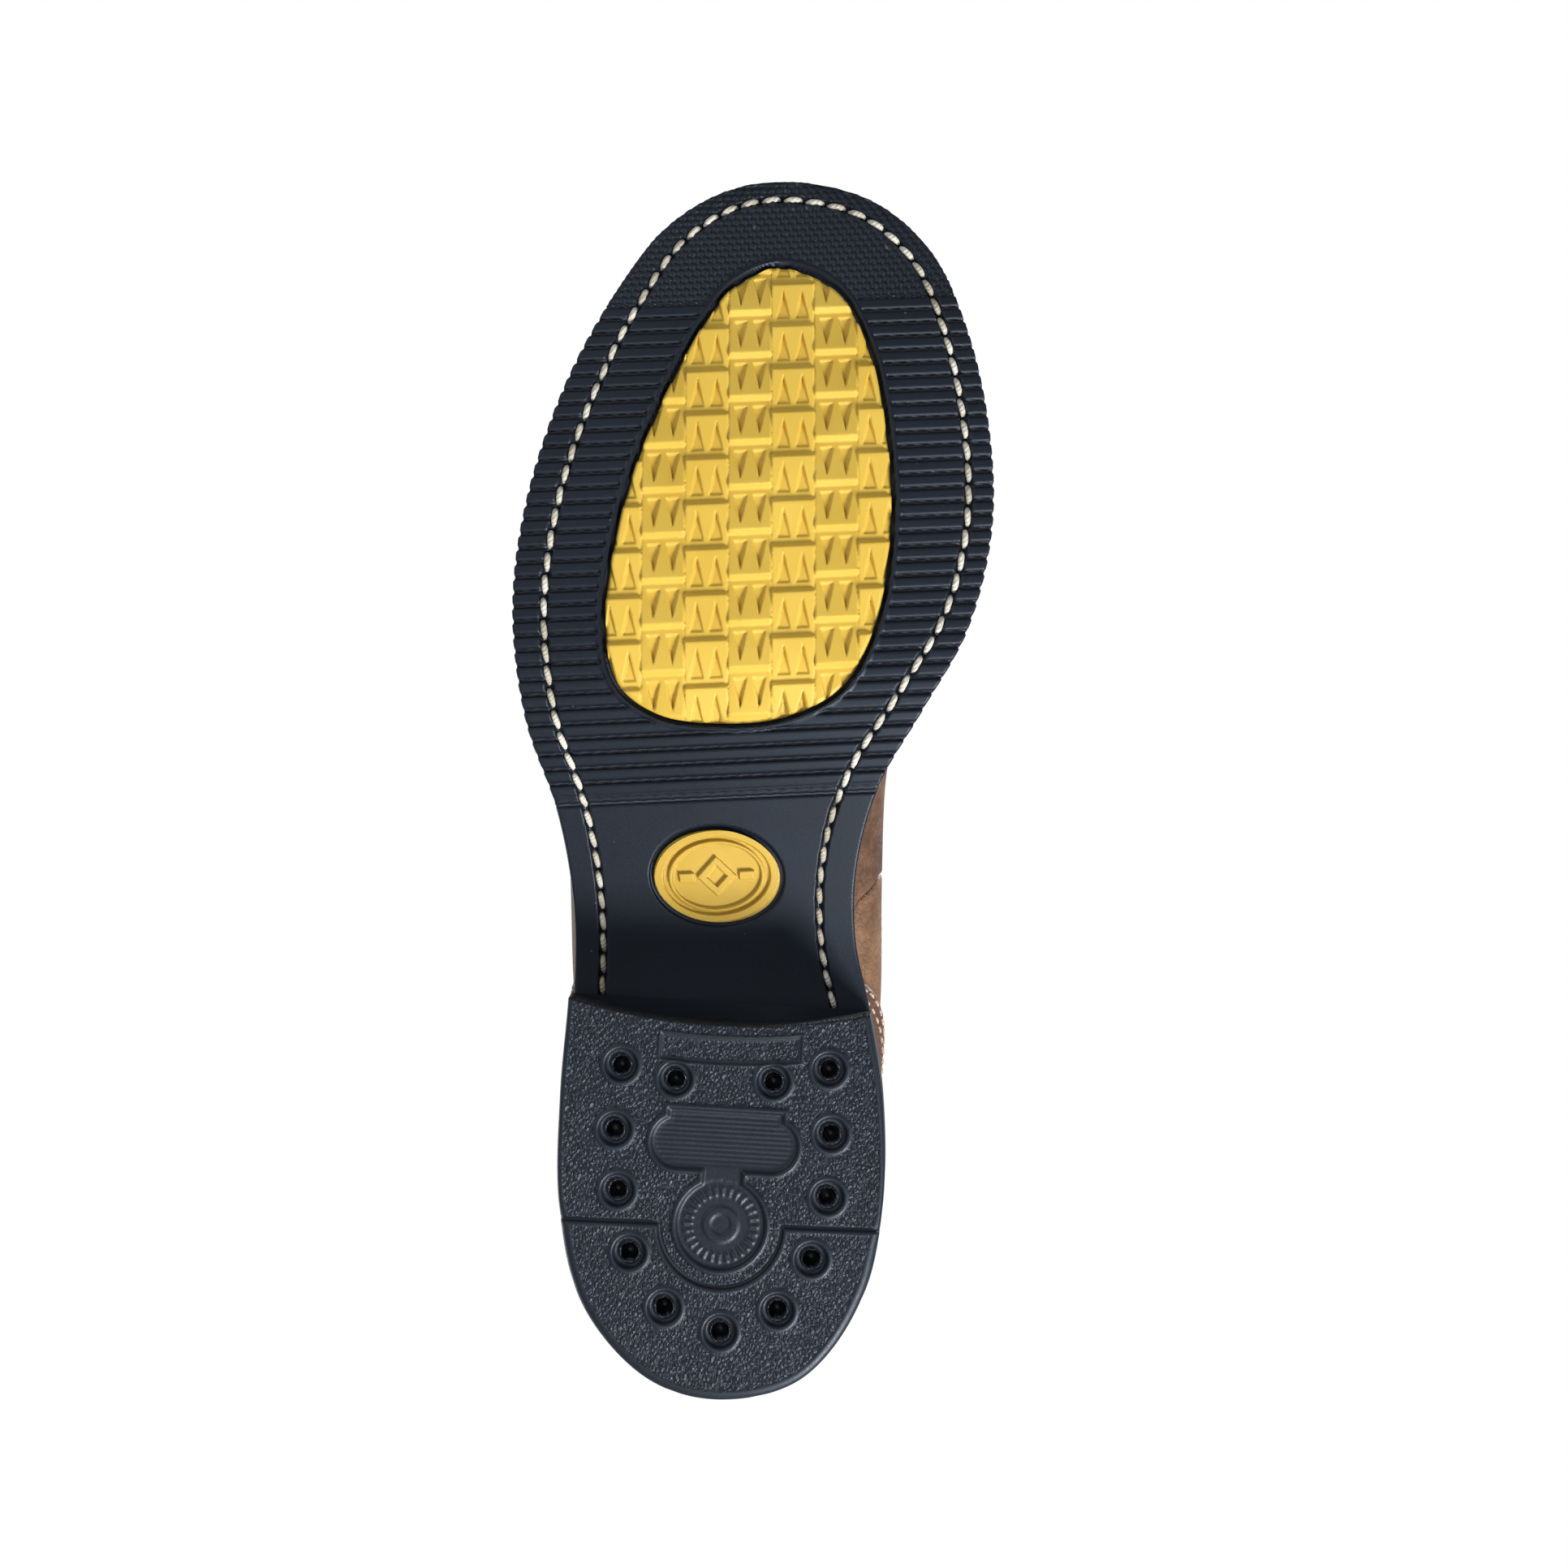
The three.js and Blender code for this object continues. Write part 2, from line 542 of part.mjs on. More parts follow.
function heel() {
  const [x, y] = scaled(BREAST_AT);
  const hollow = post(x, y - BREAST_RADIUS, BREAST_RADIUS, -10, HEEL_HEIGHT + 10, 96);
  const taper = (along) => HEEL_TAPER * THREE.MathUtils.clamp(-along / HEEL_TAPER_END, 0, 1);
  const blank = loft(inset(soleEdge, taper), 0, soleEdge, heelTop);
  let body = blank.intersect(behind(y - 12)).subtract(hollow).subtract(heelRecess());
  const headSpace = NAIL_HEAD_DEPTH + NAIL_HEAD_THICKNESS + GAP;
  for (const [nx, ny] of nailPlaces) {
    body = body.subtract(post(nx, ny, NAIL_HEAD_RADIUS + NAIL_CLEARANCE, -1, headSpace, 8));
  }
  add("heel_block", nailHoles(body), "heel_rubber");
  const tip = HEEL_HEIGHT + midsoleLow + MIDSOLE_THICKNESS - GAP;
  nailPlaces.forEach(([nx, ny], i) => {
    const head = post(nx, ny, NAIL_HEAD_RADIUS, NAIL_HEAD_DEPTH, NAIL_HEAD_DEPTH + NAIL_HEAD_THICKNESS, 8);
    const shank = post(nx, ny, NAIL_RADIUS, NAIL_HEAD_DEPTH, tip, 6);
    add("heel_nail_" + String(i + 1).padStart(2, "0"), head.add(shank), "nail_steel");
  });
}

// A sewing thread along the stitch line, from one side of the heel round the toe to the other.
function thread(name, fromEdge, height, endY) {
  const line = inset(soleEdge, fromEdge);
  const sewn = ([, y]) => y < endY;
  const last = line.findIndex((point) => !sewn(point));
  const first = line.length - line.slice().reverse().findIndex((point) => !sewn(point));
  const run = [...line.slice(first), ...line.slice(0, last)];
  const path = new THREE.CatmullRomCurve3(run.map(([x, y]) => new THREE.Vector3(x, y, soleLine(y) + height)));
  const section = new THREE.Shape().absarc(0, 0, THREAD_RADIUS, 0, 2 * Math.PI);
  const steps = Math.round((soleEdge.length * 5) / 6);
  const options = { steps, extrudePath: path, curveSegments: 3, bevelEnabled: false };
  add(name, solidOf(new THREE.ExtrudeGeometry(section, options)), "thread");
}

function soleStack() {
  outsole();
  heel();
  add("midsole", nailHoles(layer(soleEdge, midsoleLow, midsoleLow + MIDSOLE_THICKNESS)), "black_rubber");
  const shelf = 2.5; // the welt reaches this far past the lining
  const ringEdge = (from) => insideWall(shelf + from);
  const strip = layer(inset(soleEdge, 1), weltLow, weltHigh)
    .subtract(prism(inset(soleEdge, ringEdge(0)), -60, 260));
  const weltEnd = placeY(SHANK_LINE);
  add("welt", strip.intersect(ahead(weltEnd)), "welt_leather");
  add("heel_rand", strip.intersect(behind(weltEnd + GAP)), "welt_leather");
  thread("outsole_stitch_thread", STITCH_INSET, GAP + THREAD_RADIUS, weltEnd);
  const weltStitchInset = WELT_EXTENSION - WELT_STITCH_CLEARANCE;
  thread("welt_stitch_thread", weltStitchInset, weltHigh + GAP + THREAD_RADIUS, placeY(-112));

  const ribOuter = inset(soleEdge, ringEdge(GAP));
  const ribInner = inset(soleEdge, ringEdge(GAP + RIB_RING_WIDTH));
  const hollow = prism(ribInner, -60, 260);
  add("insole_rib", layer(ribOuter, weltLow, weltHigh).subtract(hollow), "felt");
  const fillEdge = inset(soleEdge, ringEdge(2 * GAP + RIB_RING_WIDTH));
  const plateLow = weltHigh - PLATE_THICKNESS;
  const corkHigh = plateLow - GAP;
  const [shankX, shankY] = scaled([BADGE_AT[0] + 2, -118]);
  const shankBox = (grow) => [
    [shankX - SHANK_WIDTH / 2 - grow, shankY - SHANK_LENGTH / 2 - grow],
    [shankX + SHANK_WIDTH / 2 + grow, shankY - SHANK_LENGTH / 2 - grow],
    [shankX + SHANK_WIDTH / 2 + grow, shankY + SHANK_LENGTH / 2 + grow],
    [shankX - SHANK_WIDTH / 2 - grow, shankY + SHANK_LENGTH / 2 + grow],
  ];
  add("cork_filler", layer(fillEdge, weltLow, corkHigh).subtract(prism(shankBox(GAP), -60, 260)), "cork");
  add("steel_shank", layer(shankBox(0), weltLow, corkHigh), "steel");
  add("puncture_plate", layer(fillEdge, plateLow, weltHigh), "steel");
  const insoleEdge = footOutline(wall + GAP + 0.3);
  add("insole_board", layer(insoleEdge, seat, seat + INSOLE_THICKNESS), "fibreboard");
  const footbedLow = seat + INSOLE_THICKNESS + GAP;
  const footbedEdge = footOutline(wall + GAP + 1);
  add("footbed", layer(footbedEdge, footbedLow, footbedLow + FOOTBED_THICKNESS), "felt");
}

// ---------------------------------------------------------------- upper
// A side-view outline with its corners rounded, scaled with the boot, and grown by some distance.
function patternPiece(points, grow = 0) {
  const curve = new THREE.CatmullRomCurve3(
    points.map(([y, z]) => new THREE.Vector3(placeY(y), z, 0)),
    true,
    "catmullrom",
    0.35,
  );
  const count = points.length * 3;
  const smooth = curve.getPoints(count).slice(0, count).map((p) => [p.x, p.y]);
  const clockwise = THREE.ShapeUtils.isClockWise(smooth.map(([y, z]) => new THREE.Vector2(y, z)));
  return sidePrism(inset(clockwise ? smooth.reverse() : smooth, -grow));
}

function upper() {
  const gore = patternPiece(GORE_LINE);
  // Everything in front of the seam; the quarter is what is left behind it and the gore.
  const seam = VAMP_SEAM.map(([y, z]) => [placeY(y), z]);
  const front = [[-2 * SOLE_LENGTH, -20], ...seam, [-2 * SOLE_LENGTH, 400]];
  const inFront = sidePrism(front);
  const inFrontAndGap = sidePrism(inset(front, -GAP - 0.1));
  add("vamp", leatherShell.intersect(inFront).subtract(gore), "brown_leather");
  add("rear_quarter", leatherShell.subtract(inFrontAndGap).subtract(gore), "brown_leather");

  const counter = patternPiece(COUNTER_LINE);
  add("outside_counter", overlayShell.intersect(counter), "counter_leather");
  const backstayTop = rings.at(-1).backZ - ANCHOR_HEIGHT - GAP;
  const backstay = block([-BACKSTAY_WIDTH / 2, BACKSTAY_WIDTH / 2], [placeY(-40), 40], [80, backstayTop]);
  const besideBackstay = patternPiece(COUNTER_LINE, GAP);
  add("backstay", overlayShell.intersect(backstay).subtract(besideBackstay), "counter_leather");

  const wideGore = patternPiece(GORE_LINE, GORE_OVERLAP);
  const structureGap = patternPiece(GORE_LINE, GORE_OVERLAP + GAP + 0.1);
  const middle = shaftCentre(placeY(-106));
  const elastic = structureShell.intersect(wideGore);
  add("gore_medial", elastic.intersect(block([middle, THROUGH], [-400, 100], [0, 400])), "elastic");
  add("gore_lateral", elastic.intersect(block([-THROUGH, middle], [-400, 100], [0, 400])), "elastic");

  const capEnd = frontOf(featherEdge) + CAP_LENGTH;
  const gasketEnd = capEnd + GAP + CAP_GASKET_WIDTH;
  add("steel_toe_cap", structureShell.intersect(ahead(capEnd)), "steel");
  const gasket = structureShell.intersect(behind(capEnd + GAP)).intersect(ahead(gasketEnd));
  add("toe_cap_gasket", gasket, "black_rubber");
  const splice = placeY(-104);
  const frontHalf = structureShell
    .intersect(behind(gasketEnd + GAP))
    .intersect(ahead(splice))
    .subtract(structureGap);
  add("vamp_interlining", largest(frontHalf), "felt");
  const rearHalf = structureShell.intersect(behind(splice + GAP)).subtract(structureGap);
  const low = block([-THROUGH, THROUGH], [-400, 100], [-50, STIFFENER_TOP]);
  const high = block([-THROUGH, THROUGH], [-400, 100], [STIFFENER_TOP + GAP, 400]);
  add("heel_stiffener", largest(rearHalf.intersect(low)), "stiffener");
  add("collar_foam", largest(rearHalf.intersect(high)), "felt");

  add("lining_front", liningShell.intersect(inFront).subtract(gore), "lining");
  add("lining_rear", liningShell.subtract(inFrontAndGap).subtract(gore), "lining");
  add("collar_binding", collarBand(0, wall, GAP, GAP + BINDING_HEIGHT), "webbing");
}

// ---------------------------------------------------------------- pull loops
// A band that follows the collar, between two depths and two heights above its edge.
function collarBand(outerDepth, innerDepth, low, high) {
  const top = LEVELS.length - 1;
  const position = [];
  const corners = [[outerDepth, low], [innerDepth, low], [innerDepth, high], [outerDepth, high]];
  for (const [depth, height] of corners) {
    for (let i = 0; i < COLUMNS; i++) {
      const point = surface[i][top].clone().addScaledVector(normals[i][top], -depth);
      position.push(point.x, point.y, point.z + height);
    }
  }
  const index = [];
  for (let side = 0; side < 4; side++) {
    for (let i = 0; i < COLUMNS; i++) {
      const next = (i + 1) % COLUMNS;
      const [a, b] = [side * COLUMNS + i, side * COLUMNS + next];
      const [c, d] = [((side + 1) % 4) * COLUMNS + next, ((side + 1) % 4) * COLUMNS + i];
      index.push(a, c, b, a, d, c);
    }
  }
  const geometry = new THREE.BufferGeometry();
  geometry.setAttribute("position", new THREE.Float32BufferAttribute(position, 3));
  geometry.setIndex(index);
  return solidOf(geometry);
}

// A rod along X, centred on x = 0.
function rod(y, z, radius, width, sides) {
  const geometry = new THREE.CylinderGeometry(radius, radius, width, sides);
  return solidOf(geometry.rotateZ(Math.PI / 2).translate(0, y, z));
}

// The webbing over the collar at the front or the back, and the loop that swings on top of it.
function pullLoop(end, isFront) {
  const built = rings.at(-1);
  const [y, z] = isFront ? [built.frontY, built.frontZ] : [built.backY, built.backZ];
  const inward = isFront ? 1 : -1;
  const middle = surface[isFront ? 0 : COLUMNS / 2].at(-1).x;
  const halfWidth = LOOP_WIDTH / 2;
  const deep = 25; // further into the boot than the webbing curves
  const ys = [y - 10 * inward, y + deep * inward].sort((a, b) => a - b);
  const within = (low, high) => block([middle - halfWidth, middle + halfWidth], ys, [low, high]);

  const saddleTop = BINDING_HEIGHT + 2 * GAP + WEBBING_THICKNESS;
  const outsideLeg = shell(-GAP - WEBBING_THICKNESS, -GAP).intersect(within(z - ANCHOR_HEIGHT, z + 10));
  const insideLeg = shell(wall + GAP, wall + GAP + WEBBING_THICKNESS)
    .intersect(within(z - ANCHOR_INSIDE, z + 10));
  const over = collarBand(-GAP - WEBBING_THICKNESS, wall + GAP + WEBBING_THICKNESS, -1, saddleTop)
    .subtract(collarBand(-GAP, wall + GAP, -2, BINDING_HEIGHT + 2 * GAP))
    .intersect(within(z - 5, z + 20));
  add(end + "_loop_anchor", outsideLeg.add(insideLeg).add(over), "webbing");

  const hingeY = y + (inward * wall) / 2;
  const hingeZ = z + saddleTop + GAP + WEBBING_THICKNESS;
  const bend = LOOP_GAP / 2 + WEBBING_THICKNESS;
  const topZ = hingeZ + LOOP_HEIGHT - bend;
  const skin = [
    rod(hingeY, hingeZ, WEBBING_THICKNESS, LOOP_WIDTH, 12),
    rod(hingeY, topZ, bend, LOOP_WIDTH, 24),
  ];
  const opening = [
    rod(hingeY, hingeZ + 5, 0.4, LOOP_WIDTH + 2, 8),
    rod(hingeY, topZ, LOOP_GAP / 2, LOOP_WIDTH + 2, 24),
  ];
  const loop = wasm.Manifold.hull(skin).subtract(wasm.Manifold.hull(opening));
  add(end + "_pull_loop", loop.translate([middle, 0, 0]), "webbing");
}

// The biggest separate body of a solid: cuts can leave slivers behind.
function largest(solid) {
  return solid.decompose().sort((a, b) => b.volume() - a.volume())[0];
}

soleStack();
upper();
pullLoop("front", true);
pullLoop("rear", false);

const box = new THREE.Box3().setFromObject(boot);
boot.position.set(-(box.min.x + box.max.x) / 2, -(box.min.y + box.max.y) / 2, 0);

export default boot;
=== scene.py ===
"""The looks of a right-foot steel toe work boot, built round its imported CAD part.

Shapes are worked out in millimetres in the sole's own frame: the back of the heel is at y = 0, the toe
points along -Y and the inner side of the foot is +X. place() moves them into the row frame, in metres.
"""
import json
import math

import bpy
import numpy as np
from mathutils import Matrix, Vector
from mathutils.bvhtree import BVHTree


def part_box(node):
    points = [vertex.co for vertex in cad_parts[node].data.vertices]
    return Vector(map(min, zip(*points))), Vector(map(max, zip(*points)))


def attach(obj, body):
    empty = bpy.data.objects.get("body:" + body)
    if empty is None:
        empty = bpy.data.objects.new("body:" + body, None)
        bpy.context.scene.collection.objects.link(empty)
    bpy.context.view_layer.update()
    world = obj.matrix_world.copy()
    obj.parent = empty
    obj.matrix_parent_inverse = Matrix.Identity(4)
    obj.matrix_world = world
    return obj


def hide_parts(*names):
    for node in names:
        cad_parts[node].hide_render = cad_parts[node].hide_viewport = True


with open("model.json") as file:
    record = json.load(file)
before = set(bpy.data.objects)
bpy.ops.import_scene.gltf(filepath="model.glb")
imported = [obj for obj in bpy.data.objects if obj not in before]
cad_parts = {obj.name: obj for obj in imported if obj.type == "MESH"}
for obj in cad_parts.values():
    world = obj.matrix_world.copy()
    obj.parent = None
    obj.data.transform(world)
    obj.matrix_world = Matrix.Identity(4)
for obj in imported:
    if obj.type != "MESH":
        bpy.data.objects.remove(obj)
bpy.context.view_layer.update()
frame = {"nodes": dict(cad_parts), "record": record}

# ------------------------------------------------------------ sizes, as in the CAD part
SOLE_LENGTH = 306
GAP = 0.3
OUTSOLE_THICKNESS = 6
MIDSOLE_LOW = OUTSOLE_THICKNESS + GAP
MIDSOLE_HIGH = MIDSOLE_LOW + 3.5
WELT_LOW = MIDSOLE_HIGH + GAP
WELT_HIGH = WELT_LOW + 3
SEAT = WELT_HIGH + GAP
HEEL_HEIGHT = 28
TOE_SPRING = 14
BALL_FRONT = -215
BALL_BACK = -187
SHANK_LINE = -97
LEATHER = 2.2
WALL = 5.3
COLLAR_DIP = 6
RIB_SKEW = math.tan(math.radians(5.8))
RIB_PITCH = 3.65
RIBS_FROM = -272
RIBS_TO = -147.1
TILE_WIDTH = 10.75
TILE_LENGTH = 11.45
TILES_ACROSS_FROM = 1.93
TILES_ALONG_FROM = (-211.1, -208.8)  # in the columns that rise to the heel, and to the toe

SOLE_EDGE = [
    (0, -306), (21, -302), (36.5, -289), (46, -270), (53, -244), (55.3, -216), (50.5, -190),
    (40.5, -169.5), (31, -150.5), (27, -130), (28, -112), (32.5, -95), (37.3, -72), (38.6, -48),
    (34.5, -25), (20, -5.8), (0, 0),
    (-18, -4), (-36, -21), (-43, -44), (-44.5, -70), (-44, -96), (-45.5, -119), (-50, -140.5),
    (-58, -161.5), (-62.5, -190), (-61, -215), (-53.5, -246), (-43, -271), (-31, -291), (-16, -302.5),
]
INSERT_EDGE = [
    (-1, -281.3), (13, -276), (22, -261), (27.5, -240), (30, -215), (27.5, -190), (20, -174),
    (6, -166), (-10, -163.7), (-25, -165), (-35.5, -172), (-39.3, -188), (-37, -214), (-31, -237),
    (-20, -264), (-12, -276),
]
BADGE = (-8.6, -126)
BREAST = (-5.5, -89.5)
BREAST_RADIUS = 152
HEEL_TAPER = 1.6
HEEL_TAPER_END = 25
HEEL_NAILS = [
    (-28.4, -78.6), (-15, -75.9), (8.8, -76.6), (22.2, -80.3), (-29, -63), (23.5, -64.8), (-27.4, -48.5),
    (23.5, -49.6), (-23.6, -34), (20.4, -34.8), (-14.4, -21.4), (12.9, -22.2), (-0.6, -16.4),
]
RINGS = [
    {"swell": 0, "rise": (-4, -4), "hug": 1},
    {"swell": 0.2, "rise": (4, 4), "hug": 1},
    {"swell": 1.4, "rise": (14, 16), "hug": 0.9},
    {"front": (-291, 32), "back": (-1.5, 31), "half": (26, 40, 45, 43, 42, 37, 23.5), "hug": 0.5},
    {"front": (-262, 54), "back": (-3.5, 54), "half": (18, 27, 35, 43, 42, 36.5, 22), "hug": 0.25},
    {"front": (-205, 71), "back": (-8, 75), "half": (11, 22, 33, 42, 40.5, 34, 20), "hug": 0},
    {"front": (-150, 90), "back": (-10, 97), "half": (12, 24, 34.5, 40, 38.5, 30.5, 17), "hug": 0},
    {"front": (-124, 106), "back": (-9, 115), "half": (14, 27, 36, 40, 37.5, 28.5, 15.5), "hug": 0},
    {"front": (-118, 133), "back": (-6, 131), "half": (15.5, 29, 37.5, 41, 38, 29, 15.5), "hug": 0},
]
GORE_LINE = [(-131, 98), (-126, 88), (-114, 84), (-101, 89), (-60, 134), (-50, 200), (-88, 200), (-97, 138)]
COUNTER_LINE = [(-104, 30), (-104, 52), (-98, 66), (-70, 80), (-40, 95), (-15, 103), (10, 104), (10, 30)]
VAMP_SEAM = [(-99, -20), (-99, 56), (-123, 61), (-130, 67), (-131, 78), (-120, 96), (-80, 138), (-70, 400)]


# ------------------------------------------------------------ curves and distances
def mix(a, b, share):
    return a + (b - a) * share


def ease(share):
    return 0.5 - 0.5 * np.cos(np.pi * np.clip(share, 0, 1))


def ramp(value, low, high):
    """0 below low and 1 above high, smooth between; low may be the greater, which turns it round."""
    share = np.clip((value - low) / (high - low), 0, 1)
    return share * share * (3 - 2 * share)


def sole_line(y):
    """Height of the outsole's underside above the ground."""
    front = TOE_SPRING * np.clip((BALL_FRONT - y) / (BALL_FRONT + SOLE_LENGTH), 0, 2) ** 1.8
    back = HEEL_HEIGHT * ease((y - BALL_BACK) / (SHANK_LINE - BALL_BACK))
    return np.where(y < BALL_FRONT, front, back)


def catmull(points, t, ends=None):
    """three.js's centripetal CatmullRomCurve3 through points (n, dims), at places t from 0 to 1."""
    pts = np.asarray(points, float)
    n = len(pts)
    spot = np.asarray(t) * (n if ends is None else n - 1)
    i = np.minimum(np.floor(spot).astype(int), (n if ends is None else n - 1) - (ends is not None))
    w = (spot - i)[:, None]
    if ends is None:
        p0, p1, p2, p3 = (pts[(i + k) % n] for k in (-1, 0, 1, 2))
    else:
        wide = np.vstack([2 * pts[0] - pts[1], pts, 2 * pts[-1] - pts[-2]])
        p0, p1, p2, p3 = (wide[i + k] for k in (0, 1, 2, 3))
    d0, d1, d2 = (np.sqrt(np.linalg.norm(b - a, axis=1))[:, None] for a, b in ((p0, p1), (p1, p2), (p2, p3)))
    d1 = np.where(d1 < 1e-4, 1, d1)
    d0 = np.where(d0 < 1e-4, d1, d0)
    d2 = np.where(d2 < 1e-4, d1, d2)
    t1 = ((p1 - p0) / d0 - (p2 - p0) / (d0 + d1) + (p2 - p1) / d1) * d1
    t2 = ((p2 - p1) / d1 - (p3 - p1) / (d1 + d2) + (p3 - p2) / d2) * d1
    a = 2 * p1 - 2 * p2 + t1 + t2
    b = -3 * p1 + 3 * p2 - 2 * t1 - t2
    return a * w**3 + b * w**2 + t1 * w + p1


def even(path, count, closed=True):
    """The path with count points, evenly spaced."""
    path = np.asarray(path, float)
    loop = np.vstack([path, path[:1]]) if closed else path
    along = np.concatenate([[0], np.cumsum(np.linalg.norm(np.diff(loop, axis=0), axis=1))])
    at = np.linspace(0, along[-1], count + 1)[:-1] if closed else np.linspace(0, along[-1], count)
    return np.stack([np.interp(at, along, loop[:, k]) for k in range(loop.shape[1])], 1)


def length_of(path):
    return float(np.linalg.norm(np.diff(path, axis=0), axis=1).sum())


def closed_curve(points, count):
    return even(catmull(points, np.arange(4000) / 4000), count)


def inset(points, distance):
    """An outline that runs anticlockwise, moved inwards."""
    along = np.roll(points, -1, 0) - np.roll(points, 1, 0)
    along /= np.linalg.norm(along, axis=1)[:, None]
    by = np.asarray(distance(points[:, 1]) if callable(distance) else distance)
    by = np.broadcast_to(by, len(points))[:, None]
    return points + np.stack([-along[:, 1], along[:, 0]], 1) * by


def rolled(distance, radius):
    """How far a rounded edge rises at some distance from the side."""
    inward = np.clip(radius - distance, 0, radius)
    return radius - np.sqrt(radius**2 - inward**2)


class Outline:
    """A closed outline that each line across the boot crosses twice."""

    def __init__(self, points):
        self.points = points
        self.low, self.high = points[:, 1].min(), points[:, 1].max()
        first = int(points[:, 1].argmin())
        turned = np.roll(points, -first, 0)
        top = int(turned[:, 1].argmax())
        self.inner = turned[: top + 1]
        self.outer = np.vstack([turned[top:], turned[:1]])[::-1]

    def span(self, y):
        y = np.clip(y, self.low, self.high)
        return tuple(np.interp(y, side[:, 1], side[:, 0]) for side in (self.outer, self.inner))

    def distance(self, x, y, reach=6.0):
        """Signed distance of grid points, whose rows share one y: negative inside, cut off at reach."""
        found = path_distance(x, y, np.vstack([self.points, self.points[:1]]), reach)[0]
        outer, inner = self.span(y[:, :1])
        inside = (x > outer) & (x < inner) & (y > self.low) & (y < self.high)
        return np.where(inside, -found, found)


def path_distance(x, y, path, reach):
    """Distance of grid points from a path, and how far along it the nearest place is."""
    a, b = path[:-1], path[1:]
    lengths = np.linalg.norm(b - a, axis=1)
    starts = np.concatenate([[0], np.cumsum(lengths)])[:-1]
    best = np.full(x.shape, float(reach))
    along = np.zeros(x.shape)
    for row in range(len(x)):
        level = y[row, 0]
        near = (np.minimum(a[:, 1], b[:, 1]) < level + reach) & (np.maximum(a[:, 1], b[:, 1]) > level - reach)
        if not near.any():
            continue
        p, d, size = a[near], (b - a)[near], lengths[near]
        rel_x, rel_y = x[row][:, None] - p[:, 0], y[row][:, None] - p[:, 1]
        t = np.clip((rel_x * d[:, 0] + rel_y * d[:, 1]) / size**2, 0, 1)
        gap = np.hypot(rel_x - t * d[:, 0], rel_y - t * d[:, 1])
        k = gap.argmin(1)
        rows = np.arange(len(k))
        better = gap[rows, k] < best[row]
        best[row][better] = gap[rows, k][better]
        along[row] = starts[near][k] + t[rows, k] * size[k]
    return best, along


edge = Outline(closed_curve(SOLE_EDGE, 900))
insert_edge = Outline(closed_curve(INSERT_EDGE, 360))
low_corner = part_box("outsole")[0]
SHIFT = np.array([low_corner.x * 1000 - edge.points[:, 0].min(), low_corner.y * 1000 + SOLE_LENGTH, 0])


def place(points):
    return (np.asarray(points, float) + SHIFT) / 1000


# ------------------------------------------------------------ meshes
def make(name, points, faces, slot, replaces=None, body="boot", look=None):
    """A new piece from points in mm, in its slot's material unless look names another one."""
    mesh = bpy.data.meshes.new(name)
    mesh.from_pydata(place(points).tolist(), [], [list(map(int, f)) for f in faces])
    mesh.validate()
    mesh.update()
    mesh.shade_smooth()
    piece = bpy.data.objects.new(name, mesh)
    bpy.context.scene.collection.objects.link(piece)
    mesh.materials.append(MATERIALS[look or slot])
    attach(piece, body)
    if replaces:
        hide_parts(replaces)
    return piece


def grid_faces(rows, columns, wrap=False):
    r, c = np.meshgrid(np.arange(rows - 1), np.arange(columns if wrap else columns - 1), indexing="ij")
    a = r * columns + c
    b = r * columns + (c + 1) % columns
    return np.stack([a, b, b + columns, a + columns], -1).reshape(-1, 4)


def tube_faces(rows, columns, closed=False):
    """Faces of rings joined row to row, whose last ring meets the first or whose ends are capped."""
    faces = grid_faces(rows, columns, wrap=True).tolist()
    last = (rows - 1) * columns
    if closed:
        return faces + [[last + k, last + (k + 1) % columns, (k + 1) % columns, k] for k in range(columns)]
    return faces + [list(range(columns))[::-1], list(range(last, last + columns))]


def reversed_faces(faces):
    return [face[::-1] for face in faces]


def sweep(path, profile, closed=True):
    """Points and faces of a closed profile carried along a path.

    profile is a function of the share along the path that gives (across, up) pairs; the path holds
    (x, y, z) and runs anticlockwise, and across points inwards."""
    if closed:
        along = np.roll(path, -1, 0) - np.roll(path, 1, 0)
    else:
        along = np.gradient(path, axis=0)
    flat = along[:, :2] / np.linalg.norm(along[:, :2], axis=1)[:, None]
    side = np.stack([-flat[:, 1], flat[:, 0], np.zeros(len(path))], 1)
    shares = np.linspace(0, 1, len(path), endpoint=not closed)
    outline = np.stack([np.asarray(profile(s), float) for s in shares])
    points = path[:, None] + side[:, None] * outline[:, :, :1] + np.array([0, 0, 1.0]) * outline[:, :, 1:]
    return points.reshape(-1, 3), reversed_faces(tube_faces(*outline.shape[:2], closed))


def rounded(low, high, left, right, radius, steps=4):
    """A rectangle (across, up) with round corners."""
    corners = [(right - radius, low + radius, -90), (right - radius, high - radius, 0),
               (left + radius, high - radius, 90), (left + radius, low + radius, 180)]
    turns = [math.radians(90 * k / steps) for k in range(steps + 1)]
    return [(x + radius * math.cos(math.radians(a) + t), z + radius * math.sin(math.radians(a) + t))
            for x, z, a in corners for t in turns]


